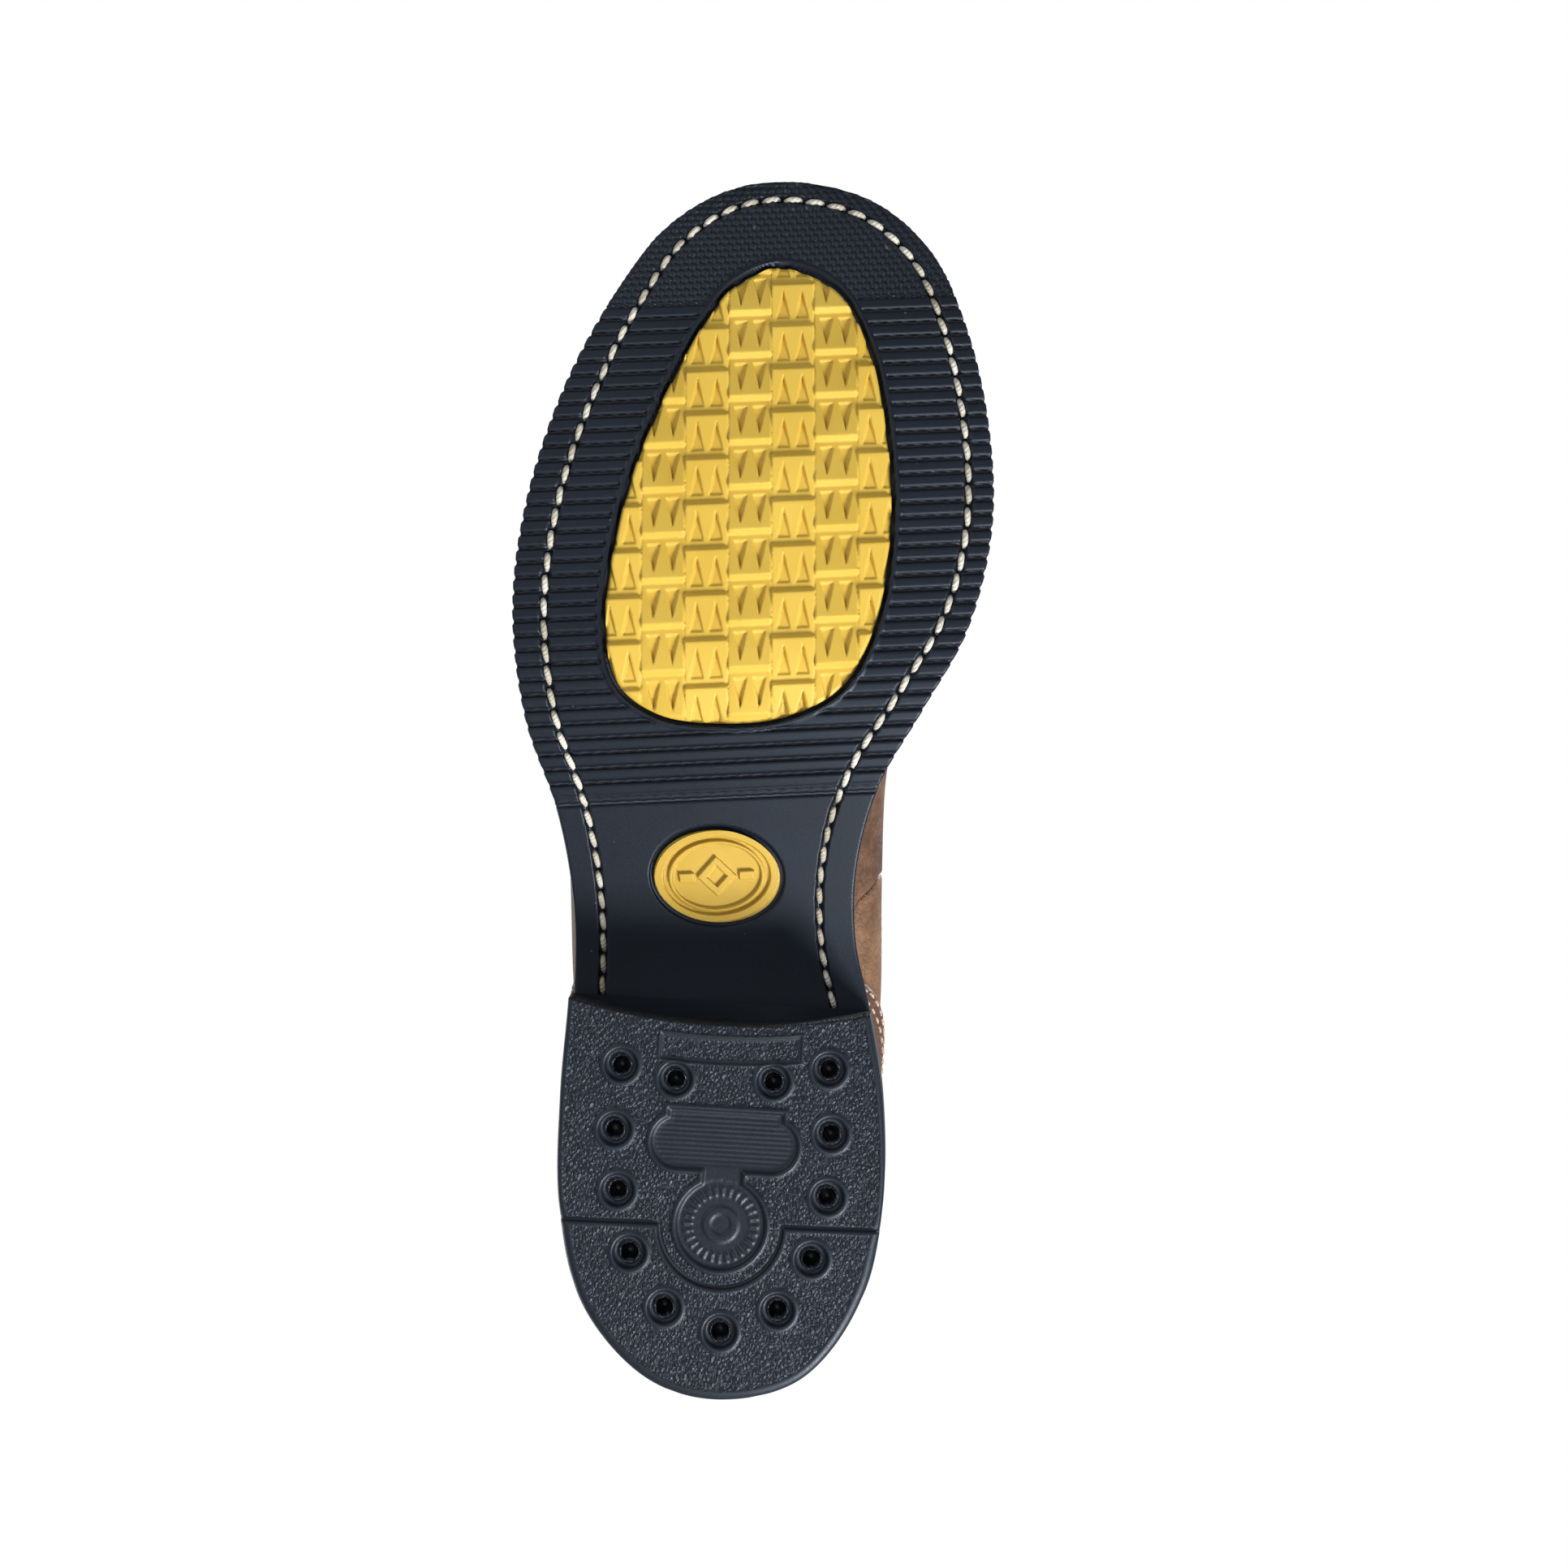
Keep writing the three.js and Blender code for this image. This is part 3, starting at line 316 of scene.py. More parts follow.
# ------------------------------------------------------------ materials
class Look:
    """A material being built; its patterns lie in object coordinates, in mm."""

    def __init__(self, name, scale=(1, 1, 1)):
        self.material = bpy.data.materials.new(name)
        self.material.use_nodes = True
        self.tree = self.material.node_tree
        self.bsdf = self.tree.nodes["Principled BSDF"]
        where = self.node("TexCoord").outputs["Object"]
        self.vector = self.node("Mapping", Vector=where, Scale=[s * 1000 for s in scale]).outputs["Vector"]

    def feed(self, socket, value):
        if isinstance(value, bpy.types.NodeSocket):
            self.tree.links.new(value, socket)
        elif isinstance(value, tuple) and len(value) == 3 and socket.type == "RGBA":
            socket.default_value = (*value, 1)
        else:
            socket.default_value = value

    def node(self, kind, **inputs):
        made = self.tree.nodes.new("ShaderNode" + kind)
        for key, value in inputs.items():
            self.feed(made.inputs[key.replace("_", " ")], value)
        return made

    def set(self, **inputs):
        for key, value in inputs.items():
            self.feed(self.bsdf.inputs[key.replace("_", " ")], value)

    def noise(self, scale, detail=4.0, rough=0.55):
        made = self.node("TexNoise", Vector=self.vector, Scale=scale, Detail=detail, Roughness=rough)
        return made.outputs["Fac"]

    def cells(self, scale, wander=None):
        """Distance from cell centres, or with wander=(scale, mm) from the borders of cells pushed about."""
        made = self.node("TexVoronoi", Scale=scale)
        where = self.vector
        if wander:
            made.feature = "DISTANCE_TO_EDGE"
            where = self.pushed(*wander) if wander[1] else where
        self.feed(made.inputs["Vector"], where)
        return made.outputs["Distance"]

    def pushed(self, scale, by):
        away, moved = self.node("VectorMath"), self.node("VectorMath")
        away.operation, moved.operation = "SCALE", "ADD"
        self.feed(away.inputs[0], self.noise(scale, 3))
        self.feed(away.inputs["Scale"], by)
        self.feed(moved.inputs[0], self.vector)
        self.feed(moved.inputs[1], away.outputs[0])
        return moved.outputs[0]

    def colours(self, fac, *stops):
        made = self.node("ValToRGB", Fac=fac)
        elements = made.color_ramp.elements
        while len(elements) < len(stops):
            elements.new(0.5)
        for element, (position, colour) in zip(elements, stops):
            element.position, element.color = position, (*colour, 1)
        return made.outputs["Color"]

    def mixed(self, fac, a, b):
        made = self.node("Mix")
        made.data_type = "RGBA"
        for k, value in ((0, fac), (6, a), (7, b)):
            self.feed(made.inputs[k], value)
        return made.outputs[2]

    def stretch(self, value, low, high, to_low=0.0, to_high=1.0):
        limits = dict(From_Min=low, From_Max=high, To_Min=to_low, To_Max=to_high)
        return self.node("MapRange", Value=value, **limits).outputs["Result"]

    def maths(self, kind, a, b=0.0):
        made = self.node("Math")
        made.operation = kind
        for socket, value in zip(made.inputs, (a, b)):
            self.feed(socket, value)
        return made.outputs[0]

    def times(self, a, b):
        return self.maths("MULTIPLY", a, b)

    def plus(self, a, b):
        return self.maths("ADD", a, b)

    def worn_edges(self):
        return self.stretch(self.node("NewGeometry").outputs["Pointiness"], 0.52, 0.6)

    def bumps(self, *layers):
        """Stacks bump maps: (height, strength, distance in mm)."""
        last = None
        for height, strength, distance in layers:
            made = self.node("Bump", Height=height, Strength=strength, Distance=distance / 1000)
            if last:
                self.feed(made.inputs["Normal"], last)
            last = made.outputs["Normal"]
        self.set(Normal=last)


def rubber(name, dark, light, roughness, grain=0.12, dust=0.25, tint=(1, 1, 1)):
    look = Look(name)
    broad, fine = look.noise(0.03, 5), look.noise(1.6, 6, 0.7)
    specks = look.stretch(look.cells(0.22), 0.07, 0.04)
    rare = look.stretch(look.noise(0.11, 2), 0.52, 0.6)
    dusty = look.times(look.maths("MAXIMUM", look.worn_edges(), look.times(specks, rare)), dust)
    base = look.colours(broad, (0.3, dark), (0.7, light))
    look.set(Base_Color=look.mixed(dusty, base, (0.32, 0.32, 0.34)),
             Roughness=look.stretch(fine, 0.3, 0.7, roughness - 0.08, roughness + 0.1),
             Specular_IOR_Level=0.38, Specular_Tint=tint)
    look.bumps((fine, grain, 0.15), (broad, 0.1, 0.6))
    return look.material


def heel_rubber():
    """Rubber with a leather-like grain where the mesh's grain attribute is 1, smooth where it is 0."""
    look = Look("heel_grained_rubber", (1.2, 0.75, 1))
    grain = look.node("Attribute")
    grain.attribute_name = "grain"
    pebble = look.stretch(look.cells(0.95, wander=(0.5, 1.0)), 0.0, 0.3)
    fine = look.noise(1.8, 4)
    raised = look.times(look.plus(pebble, look.times(fine, 0.5)), grain.outputs["Fac"])
    # The heel rubber's dark tone is its own; its blue lean is a painted bluish sheen.
    tone = look.colours(look.noise(0.05, 4), (0.3, (0.0035, 0.0055, 0.0105)), (0.7, (0.007, 0.010, 0.017)))
    look.set(Base_Color=look.mixed(look.times(look.worn_edges(), 0.12), tone, (0.2, 0.2, 0.22)),
             Roughness=look.stretch(fine, 0.3, 0.7, 0.4, 0.58), Specular_Tint=BLUISH)
    look.bumps((fine, 0.15, 0.12), (raised, 0.8, 0.3))
    return look.material


def leather(name, dark, light, roughness=0.55, creases=0.4):
    look = Look(name)
    broad, patches, fine = look.noise(0.02, 5, 0.55), look.noise(0.14, 6, 0.7), look.noise(1.1, 6, 0.75)
    pores = look.stretch(look.cells(0.75, wander=(0, 0)), 0, 0.16)
    wrinkles = look.stretch(look.cells(0.28, wander=(0.25, 3.0)), 0, 0.1)
    middle = tuple((a + b) / 2 for a, b in zip(dark, light))
    pale = tuple(min(1, c * 1.5 + 0.03) for c in light)
    shares = look.plus(look.times(broad, 0.45), look.times(patches, 0.55))
    tone = look.colours(shares, (0.38, dark), (0.5, middle), (0.62, light))
    tone = look.mixed(look.times(look.stretch(fine, 0.48, 0.7), 0.5), tone, dark)
    # The wrinkle lines are darkened here: painted shade in the creases of the grain.
    tone = look.mixed(look.stretch(wrinkles, 0, 1, 0.35, 0.0), tone, dark)
    look.set(Base_Color=look.mixed(look.times(look.worn_edges(), 0.4), tone, pale), Specular_IOR_Level=0.35,
             Roughness=look.stretch(patches, 0.3, 0.7, roughness - 0.1, roughness + 0.12))
    look.bumps((pores, 0.3, 0.12), (wrinkles, 0.35, 0.2), (fine, 0.45, 0.16), (patches, creases, 0.8))
    return look.material


def woven(name, dark, light, pitch=0.8, ribbed=False):
    """Cloth with threads along both ways, or with raised cords only, running up the boot."""
    look = Look(name)
    axes = look.node("SeparateXYZ", Vector=look.vector).outputs
    wobble = look.times(look.noise(0.4, 2), 0.5)

    def wave(where):
        return look.maths("SINE", look.times(where, 2 * math.pi / pitch))

    weave = wave(look.plus(axes["Y"], wobble))
    if not ribbed:
        weave = look.times(look.plus(weave, wave(axes["X"])), wave(look.plus(axes["Z"], wobble)))
    height, fuzz = look.stretch(weave, -1.0, 1.0), look.noise(2.5, 3)
    # The colour follows the weave's height: painted shade in the valleys between the threads and painted light on
    # their tops, with random fuzz mixed in.
    shares = look.plus(look.times(height, 0.7), look.times(fuzz, 0.3))
    look.set(Base_Color=look.colours(shares, (0.2, dark), (0.75, light)), Roughness=0.85, Sheen_Weight=0.1)
    look.bumps((height, 0.7, pitch * 0.35), (fuzz, 0.3, 0.15))
    return look.material


def thread_material(name, dark, light):
    look = Look(name)
    twist = look.node("TexWave", Vector=look.vector, Scale=0.45, Distortion=1.5)
    twist.bands_direction = "DIAGONAL"
    strands = twist.outputs["Fac"]
    tone = look.colours(look.noise(0.06, 4), (0.35, dark), (0.6, light))
    look.set(Base_Color=look.mixed(look.stretch(strands, 0, 1, 0.0, 0.35), tone, dark), Roughness=0.6)
    look.bumps((strands, 0.6, 0.2))
    return look.material


def metal(name, colour, roughness):
    look = Look(name)
    stain = look.noise(0.5, 5)
    dull = tuple(c * 0.45 for c in colour)
    look.set(Base_Color=look.colours(stain, (0.35, dull), (0.65, colour)), Metallic=1.0,
             Roughness=look.stretch(stain, 0.3, 0.7, roughness, roughness + 0.25))
    look.bumps((look.noise(3, 3), 0.15, 0.1))
    return look.material


BLUISH = (0.80, 0.89, 1.0)
MATERIALS = {
    # The black rubber's dark tone is its own; the blue lean of its base colours is a painted bluish sheen, and
    # BLUISH tints its reflections.
    "black_rubber": rubber("outsole_black_rubber", (0.003, 0.005, 0.0098), (0.0055, 0.0085, 0.016), 0.46,
                           tint=BLUISH),
    "heel_rubber": heel_rubber(),
    "yellow_rubber": rubber("insert_yellow_rubber", (0.60, 0.385, 0.045), (0.70, 0.47, 0.07), 0.5, 0.08, 0.1),
    "badge_rubber": rubber("badge_ochre_rubber", (0.47, 0.30, 0.035), (0.57, 0.37, 0.055), 0.48, 0.08, 0.1),
    "brown_leather": leather("oiled_brown_leather", (0.060, 0.029, 0.017), (0.195, 0.100, 0.056)),
    "quarter_leather": leather("oiled_tan_leather", (0.10, 0.050, 0.027), (0.27, 0.146, 0.080)),
    "counter_leather": leather("oiled_counter_leather", (0.058, 0.029, 0.021), (0.135, 0.070, 0.051)),
    "welt_leather": leather("dark_welt_leather", (0.012, 0.010, 0.009), (0.035, 0.026, 0.021), 0.5, 0.2),
    "elastic": woven("ribbed_elastic", (0.012, 0.008, 0.007), (0.06, 0.038, 0.03), 1.5, True),
    "lining": woven("tan_lining", (0.30, 0.22, 0.15), (0.50, 0.40, 0.29), 1.0),
    "thread": thread_material("waxed_thread", (0.36, 0.32, 0.24), (0.74, 0.71, 0.62)),
    "upper_thread": thread_material("upper_seam_thread", (0.30, 0.22, 0.15), (0.55, 0.42, 0.30)),
    "webbing": woven("dark_webbing", (0.014, 0.010, 0.008), (0.075, 0.052, 0.040), 1.1),
    "binding": leather("collar_binding_leather", (0.030, 0.018, 0.014), (0.075, 0.045, 0.034), 0.5, 0.15),
    "steel": metal("plain_steel", (0.42, 0.43, 0.45), 0.3),
    "nail_steel": metal("dull_nail_steel", (0.20, 0.20, 0.21), 0.45),
    "cork": leather("ground_cork", (0.22, 0.13, 0.06), (0.45, 0.30, 0.16), 0.85),
    "fibreboard": leather("tan_fibreboard", (0.30, 0.20, 0.12), (0.42, 0.30, 0.19), 0.8),
    "felt": woven("pale_felt", (0.36, 0.33, 0.28), (0.55, 0.52, 0.46), 1.3),
    "stiffener": leather("cream_stiffener", (0.45, 0.42, 0.35), (0.6, 0.57, 0.5), 0.6, 0.1),
}
for entry in frame["record"]["subparts"]:
    node = frame["nodes"][entry["node"]]
    node.data.materials.clear()
    node.data.materials.append(MATERIALS[entry["material_slot"]])


# ------------------------------------------------------------ camera and studio
def aim_camera():
    """Below the boot and square to the sole, a little turned, as the sole faces the viewer."""
    tilt, roll = math.radians(4), math.radians(3.3)
    forward = Vector((0, -math.sin(tilt), math.cos(tilt)))
    right, down = Vector((1, 0, 0)), Vector((0, math.cos(tilt), math.sin(tilt)))
    across = right * math.cos(roll) - down * math.sin(roll)
    up = -(right * math.sin(roll) + down * math.cos(roll))
    data = bpy.data.cameras.new("camera")
    data.lens = 43.8
    data.sensor_width = 36
    data.clip_end = 50
    camera = bpy.data.objects.new("camera", data)
    turn = Matrix((across, up, -forward)).transposed().to_4x4()
    camera.matrix_world = Matrix.Translation(Vector(place([(7.2, -116.5, -466.5)])[0])) @ turn
    bpy.context.scene.collection.objects.link(camera)
    bpy.context.scene.camera = camera


def area_light(name, spot, aim_height, size, power):
    data = bpy.data.lights.new(name, "AREA")
    data.size = size
    data.energy = power
    lamp = bpy.data.objects.new(name, data)
    lamp.location = spot
    away = Vector((0, 0, aim_height)) - Vector(spot)
    lamp.rotation_euler = away.to_track_quat("-Z", "Y").to_euler()
    lamp.visible_camera = False
    bpy.context.scene.collection.objects.link(lamp)


def add_world():
    """A dim sky for light, behind a white backdrop."""
    world = bpy.data.worlds.new("studio")
    world.use_nodes = True
    nodes, links = world.node_tree.nodes, world.node_tree.links
    sky = nodes["Background"]
    sky.inputs["Color"].default_value = (0.94, 0.97, 1.0, 1)
    sky.inputs["Strength"].default_value = 0.36
    white = nodes.new("ShaderNodeBackground")
    white.inputs["Color"].default_value = (1, 1, 1, 1)
    either = nodes.new("ShaderNodeMixShader")
    seen = nodes.new("ShaderNodeLightPath").outputs["Is Camera Ray"]
    for out, into in zip((seen, sky.outputs[0], white.outputs[0]), either.inputs):
        links.new(out, into)
    links.new(either.outputs[0], nodes["World Output"].inputs["Surface"])
    bpy.context.scene.world = world


def add_floor():
    """A pale floor that fades into the backdrop; it shows only from above, so the sole stays in sight."""
    mesh = bpy.data.meshes.new("floor")
    corners = [(x * 30, y * 30, -0.0006) for x, y in ((-1, -1), (1, -1), (1, 1), (-1, 1))]
    mesh.from_pydata(corners, [], [(0, 1, 2, 3)])
    floor = bpy.data.objects.new("floor", mesh)
    bpy.context.scene.collection.objects.link(floor)
    look = Look("pale_floor")
    look.set(Base_Color=(0.86, 0.86, 0.85), Roughness=0.7)
    far = look.node("VectorMath")
    far.operation = "LENGTH"
    look.feed(far.inputs[0], look.vector)
    fade, sides = look.node("MixShader"), look.node("MixShader")
    glow, clear = look.node("Emission"), look.node("BsdfTransparent")
    feeds = (look.stretch(far.outputs["Value"], 200, 850), look.bsdf.outputs[0], glow.outputs[0])
    for socket, value in zip(fade.inputs, feeds):
        look.feed(socket, value)
    feeds = (look.node("NewGeometry").outputs["Backfacing"], fade.outputs[0], clear.outputs[0])
    for socket, value in zip(sides.inputs, feeds):
        look.feed(socket, value)
    look.feed(look.tree.nodes["Material Output"].inputs["Surface"], sides.outputs[0])
    mesh.materials.append(look.material)
    for ray in ("diffuse", "glossy", "transmission", "shadow"):
        setattr(floor, "visible_" + ray, False)


def studio():
    add_world()
    area_light("under_key", (0.6, 0.75, -0.62), 0.02, 0.35, 21)
    area_light("under_fill", (-0.7, -0.5, -0.8), 0.02, 0.7, 3)
    area_light("top_key", (0.9, -0.8, 1.3), 0.08, 0.6, 20)
    area_light("top_fill", (-1.2, 0.6, 1.0), 0.08, 1.0, 9)
    add_floor()
    bpy.context.scene.view_settings.view_transform = "Standard"


aim_camera()
studio()


# ------------------------------------------------------------ reliefs: fine surfaces over an outline
WALL_STRIPS = [(0.15, 1), (0.4, 1), (0.7, 0.9), (1.0, 0.8)]  # share of the height, share of the notch


def relief(outline, height, top, step=0.45, columns=240, notch=None, roll=0.5, fine_to=None, lift_sign=1):
    """A closed body whose underside is height(x, y), with rounded lower edges and walls up to top(y).

    notch(x, y) moves the wall inwards where it is cut by the underside's grooves; rows behind fine_to, which
    nobody sees, lie 3 mm apart."""
    low, high = outline.low, outline.high
    tips = np.array([0.004, 0.03, 0.08, 0.16, 0.28])
    fine_to = high if fine_to is None else fine_to
    fine_rows = np.arange(low + 0.45, min(fine_to, high - 0.45), step)
    rows = np.concatenate([low + tips, fine_rows, np.arange(fine_to, high - 0.45, 3.0), high - tips[::-1]])
    outer, inner = outline.span(rows)
    x = outer[:, None] + (inner - outer)[:, None] * np.linspace(0, 1, columns)
    y = np.repeat(rows[:, None], columns, 1)
    near = np.minimum(x - outer[:, None], inner[:, None] - x)
    r = np.minimum(roll, (inner - outer)[:, None] / 4)
    z = height(x, y) + rolled(near, r) * lift_sign
    inward = notch(x[:, [0, -1]], y[:, [0, -1]]) if notch is not None else np.zeros((len(rows), 2))
    walls = []
    for side, sign in ((0, 1), (-1, -1)):
        base, shift = z[:, side], inward[:, side] * sign
        walls.append([np.stack([x[:, side] + shift * share, rows, mix(base, top(rows), level)], 1)
                      for level, share in WALL_STRIPS])
        x[:, side] += shift
    strips = walls[0][::-1] + [np.stack([x[:, k], y[:, k], z[:, k]], 1) for k in range(columns)] + walls[1]
    points = np.stack(strips, 1)
    count = points.shape[1]
    caps = [list(range(count)), list(range(len(rows) * count - 1, (len(rows) - 1) * count - 1, -1))]
    return points.reshape(-1, 3), grid_faces(len(rows), count, wrap=True).tolist() + caps


STITCH_INSETS = [  # y, then the distance from the edge on the outer side and on the inner side
    (-306, 5.2, 5.2), (-292, 6.0, 5.4), (-250, 7.8, 6.4), (-200, 8.0, 6.6), (-165, 7.6, 7.6),
    (-140, 7.3, 9.0), (-95, 7.3, 9.0),
]


def stitch_line():
    """The seam from the outer side of the heel breast round the toe to the inner side."""
    marks, on_outer, on_inner = np.array(STITCH_INSETS).T
    points = np.roll(edge.points, -int(edge.points[:, 1].argmin()), 0)
    back = int(points[:, 1].argmax())
    by = np.where(np.arange(len(points)) <= back, np.interp(points[:, 1], marks, on_inner),
                  np.interp(points[:, 1], marks, on_outer))
    moved = inset(points, by)
    return np.vstack([half[half[:, 1] < -93] for half in (moved[back:], moved[: back + 1])])


seam = stitch_line()
STITCH_PITCH = 5.6
SHANK_RECESS = 1.3


def skewed(x, y):
    return y + x * RIB_SKEW


def rib_profile(q):
    phase = np.mod((q - RIBS_FROM) / RIB_PITCH, 1)
    groove = np.exp(-(((phase + 0.5) % 1 - 0.5) / 0.13) ** 2)
    return 1.35 * groove + 0.4 * phase


def rib_area(x, y):
    q = skewed(x, y)
    return ramp(q, RIBS_FROM - 0.3, RIBS_FROM + 0.3) * ramp(q, RIBS_TO + 0.15, RIBS_TO - 0.15)


def knurl(x, y):
    q = skewed(x, y) / 1.75
    a = (x - y * RIB_SKEW) / 2.1 + 0.5 * np.floor(q)
    bump = (1 - np.abs(2 * np.mod(q, 1) - 1) ** 2) * (1 - np.abs(2 * np.mod(a, 1) - 1) ** 2)
    return 0.65 * (1 - bump)


BADGE_HALF = (16.2, 11.7)
badge_outline = Outline(np.array([
    (BADGE[0] + BADGE_HALF[0] * math.cos(t), BADGE[1] + BADGE_HALF[1] * math.sin(t))
    for t in np.linspace(0, 2 * math.pi, 241)[:-1]
]))


def shank_recess(x, y):
    """The smooth waist lies higher than the ribs; under the heel the outsole is flat."""
    waist = ramp(skewed(x, y), RIBS_TO - 0.1, RIBS_TO + 0.5) * ramp(y - breast_line(x), 2.5, 0.8)
    return SHANK_RECESS * waist


def outsole_height(x, y):
    q = skewed(x, y)
    to_insert = insert_edge.distance(x, y)
    shank = shank_recess(x, y)
    ribs = rib_area(x, y) * ramp(to_insert, 1.9, 2.3) * rib_profile(q)
    toe = ramp(q, RIBS_FROM + 0.3, RIBS_FROM - 0.3) * ramp(to_insert, 2.0, 2.6) * (knurl(x, y) + 0.15)
    # The last rib ends in a plain lip and a small step down to the waist.
    lip = np.exp(-(((q - RIBS_TO + 1.1) / 0.6) ** 2))
    step = 0.9 * np.exp(-(((q - RIBS_TO - 0.6) / 0.45) ** 2))
    recess = (ribs + toe) * (1 - lip) + shank + step
    # The seam lies in a channel, with a pit where each stitch dives in.
    gap, along = path_distance(x, y, seam, 4)
    recess = np.maximum(recess, 1.7 * np.clip(1 - (gap / 1.05) ** 2, 0, 1) ** 0.6 + shank)
    pit = np.abs(np.mod(along / STITCH_PITCH + 0.5, 1) - 0.5)
    recess = recess + 1.2 * np.exp(-((pit / 0.1) ** 2)) * np.clip(1 - (gap / 1.25) ** 2, 0, 1)
    recess = mix(recess, 3.4, ramp(to_insert, 1.15, 0.75))
    recess = mix(recess, 2.3, ramp(badge_outline.distance(x, y), 1.3, 0.9))
    return sole_line(y) + recess


def outsole_notch(x, y):
    return rib_area(x, y) * 0.55 * np.clip(rib_profile(skewed(x, y)) / 1.25, 0, 1)


def build_outsole():
    body = relief(edge, outsole_height, lambda y: sole_line(y) + OUTSOLE_THICKNESS, step=0.36, columns=300,
                  notch=outsole_notch, roll=0.7, fine_to=-84)
    make("outsole_ribbed", *body, "black_rubber", "outsole")


def insert_height(x, y):
    """Columns of ramped tiles that rise to the heel and to the toe by turns, each with two sunk triangles."""
    a = (0.9983 * x - 0.0576 * y - TILES_ACROSS_FROM) / TILE_WIDTH
    to_toe = np.mod(np.floor(a), 2) == 1
    b = (skewed(x, y) - np.where(to_toe, TILES_ALONG_FROM[1], TILES_ALONG_FROM[0])) / TILE_LENGTH
    p, r = a - np.floor(a), b - np.floor(b)
    r = np.where(to_toe, 1 - r, r)
    recess = 1.5 * np.where(r < 0.86, 1 - r / 0.86, ramp(r, 0.88, 1.0))
    recess = recess + 0.2 * ramp(np.minimum(p, 1 - p), 0.035, 0.0)
    for centre in (0.28, 0.72):
        half = 0.17 * np.clip((0.8 - r) / 0.68, 0, 1)
        inside = np.minimum(half - np.abs(p - centre), (r - 0.1) * 0.8)
        recess = recess + ramp(inside, 0.0, 0.04) * np.clip(1.9 - recess, 0, 2)
    near_edge = ramp(insert_edge.distance(x, y), -0.9, 0.0)
    return sole_line(y) + 0.2 + recess + 0.35 * near_edge


def build_insert():
    body = relief(insert_edge, insert_height, lambda y: sole_line(y) + 3.2, step=0.3, columns=250, roll=0.5)
    make("grip_insert_tiles", *body, "yellow_rubber", "outsole_grip_insert")


def badge_height(x, y):
    """A raised rim, a thin ring, a lozenge and two plain bars on a sunk oval plate."""
    u, v = x - BADGE[0], y - BADGE[1]
    u, v = u * 0.995 - v * 0.1, v * 0.995 + u * 0.1
    radius = np.hypot(u / BADGE_HALF[0], v / BADGE_HALF[1])
    rim = ramp(radius, 0.83, 0.86) * ramp(radius, 1.02, 0.98)
    ring = ramp(radius, 0.69, 0.715) * ramp(radius, 0.775, 0.75)
    diamond = (np.abs(u) + np.abs(v)) / 5
    lozenge = ramp(diamond, 1.04, 0.97) * ramp(diamond, 0.5, 0.57)
    bars = ramp(np.abs(v), 1.15, 0.95) * ramp(np.abs(np.abs(u) - 7.7), 2.0, 1.8)
    raised = np.maximum(np.maximum(rim, ring), np.maximum(lozenge, bars))
    return sole_line(y) + 1.75 - 1.25 * raised


def build_badge():
    body = relief(badge_outline, badge_height, lambda y: sole_line(y) + 2.1, step=0.15, columns=230, roll=0.3)
    make("waist_badge_plate", *body, "yellow_rubber", "outsole_badge", look="badge_rubber")


# ------------------------------------------------------------ heel
heel_edge = inset(edge.points, lambda y: HEEL_TAPER * np.clip(-y / HEEL_TAPER_END, 0, 1))


def breast_line(x):
    """The heel's hollow front."""
    return BREAST[1] - BREAST_RADIUS + np.sqrt(np.clip(BREAST_RADIUS**2 - (x - BREAST[0]) ** 2, 0, None))


PANEL = (-2.2, -61.5)
BOSS = (-2.0, -41.6)


def heel_relief(x, y):
    """How far the underside is sunk, and how grained it is."""
    to_boss = np.hypot(x - BOSS[0], y - BOSS[1])
    # The rear part is raised behind a step that goes round the boss.
    behind = np.minimum(y + 41.4 + 0.02 * x, to_boss - 15.2)
    recess = 1.15 - 0.8 * ramp(behind, -0.25, 0.35) + 0.5 * np.exp(-(((behind + 0.5) / 0.4) ** 2))
    grain = ramp(np.abs(behind), 0.8, 1.4)
    # A panel of fine lines, joined by a neck to the round boss; one raised rim runs round all three.
    u, v = x - PANEL[0], y - PANEL[1]
    pill = np.hypot(np.clip(np.abs(u) - 11.4, 0, None), v - 0.6) - 6.2
    ledge = np.maximum(np.abs(u) - 13.8, np.abs(v + 4.4) - 2.8)
    neck = np.maximum(np.abs(u) - 4.6, np.abs(v - 8) - 4)
    shape = np.minimum(np.minimum(pill, ledge), np.minimum(neck, to_boss - 10.6))
    lines = 0.5 + 0.5 * np.cos(2 * np.pi * v / 1.15)
    dial = ramp(np.abs(np.mod(np.arctan2(y - BOSS[1], x - BOSS[0]) * 14 / np.pi, 1) - 0.5), 0.2, 0.3)
    dial = 0.35 * dial * ramp(to_boss, 6.7, 7.0) * ramp(to_boss, 9.3, 9.0)
    hub = ramp(to_boss, 4.6, 4.2) * ramp(to_boss, 2.2, 2.6)
    dial = dial + 0.35 * hub
    lined = 0.6 + 0.2 * lines * ramp(np.minimum(pill, ledge), -0.8, -1.2)
    fill = np.where(to_boss < 10.6, 0.75 - dial, lined)
    recess = recess + ramp(shape, 0.2, -0.3) * fill - 0.45 * np.exp(-(((shape - 0.8) / 0.45) ** 2))
    grain = grain * ramp(shape, 1.3, 1.8)
    # A plain long panel by the breast.
    box = np.maximum(np.abs(x + 2.0) - 17, np.abs(y - (breast_line(x) + 6.2)) - 3.0)
    recess = recess + 0.35 * ramp(box, 0.2, -0.2) - 0.25 * np.exp(-(((box - 0.5) / 0.3) ** 2))
    grain = grain * ramp(np.abs(box), 0.5, 1.0)
    for nx, ny in HEEL_NAILS:
        r = np.hypot(x - nx, y - ny)
        recess = recess - 0.3 * np.exp(-(((r - 4.5) / 0.5) ** 2))
        recess = recess + 1.3 * ramp(r, 4.1, 3.4) * ramp(r, 2.2, 2.9)
        recess = np.maximum(recess + 0.4 * ramp(r, 3.0, 2.6), 6.4 * ramp(r, 2.25, 1.95))
        grain = grain * ramp(r, 5.0, 5.6)
    return recess, grain


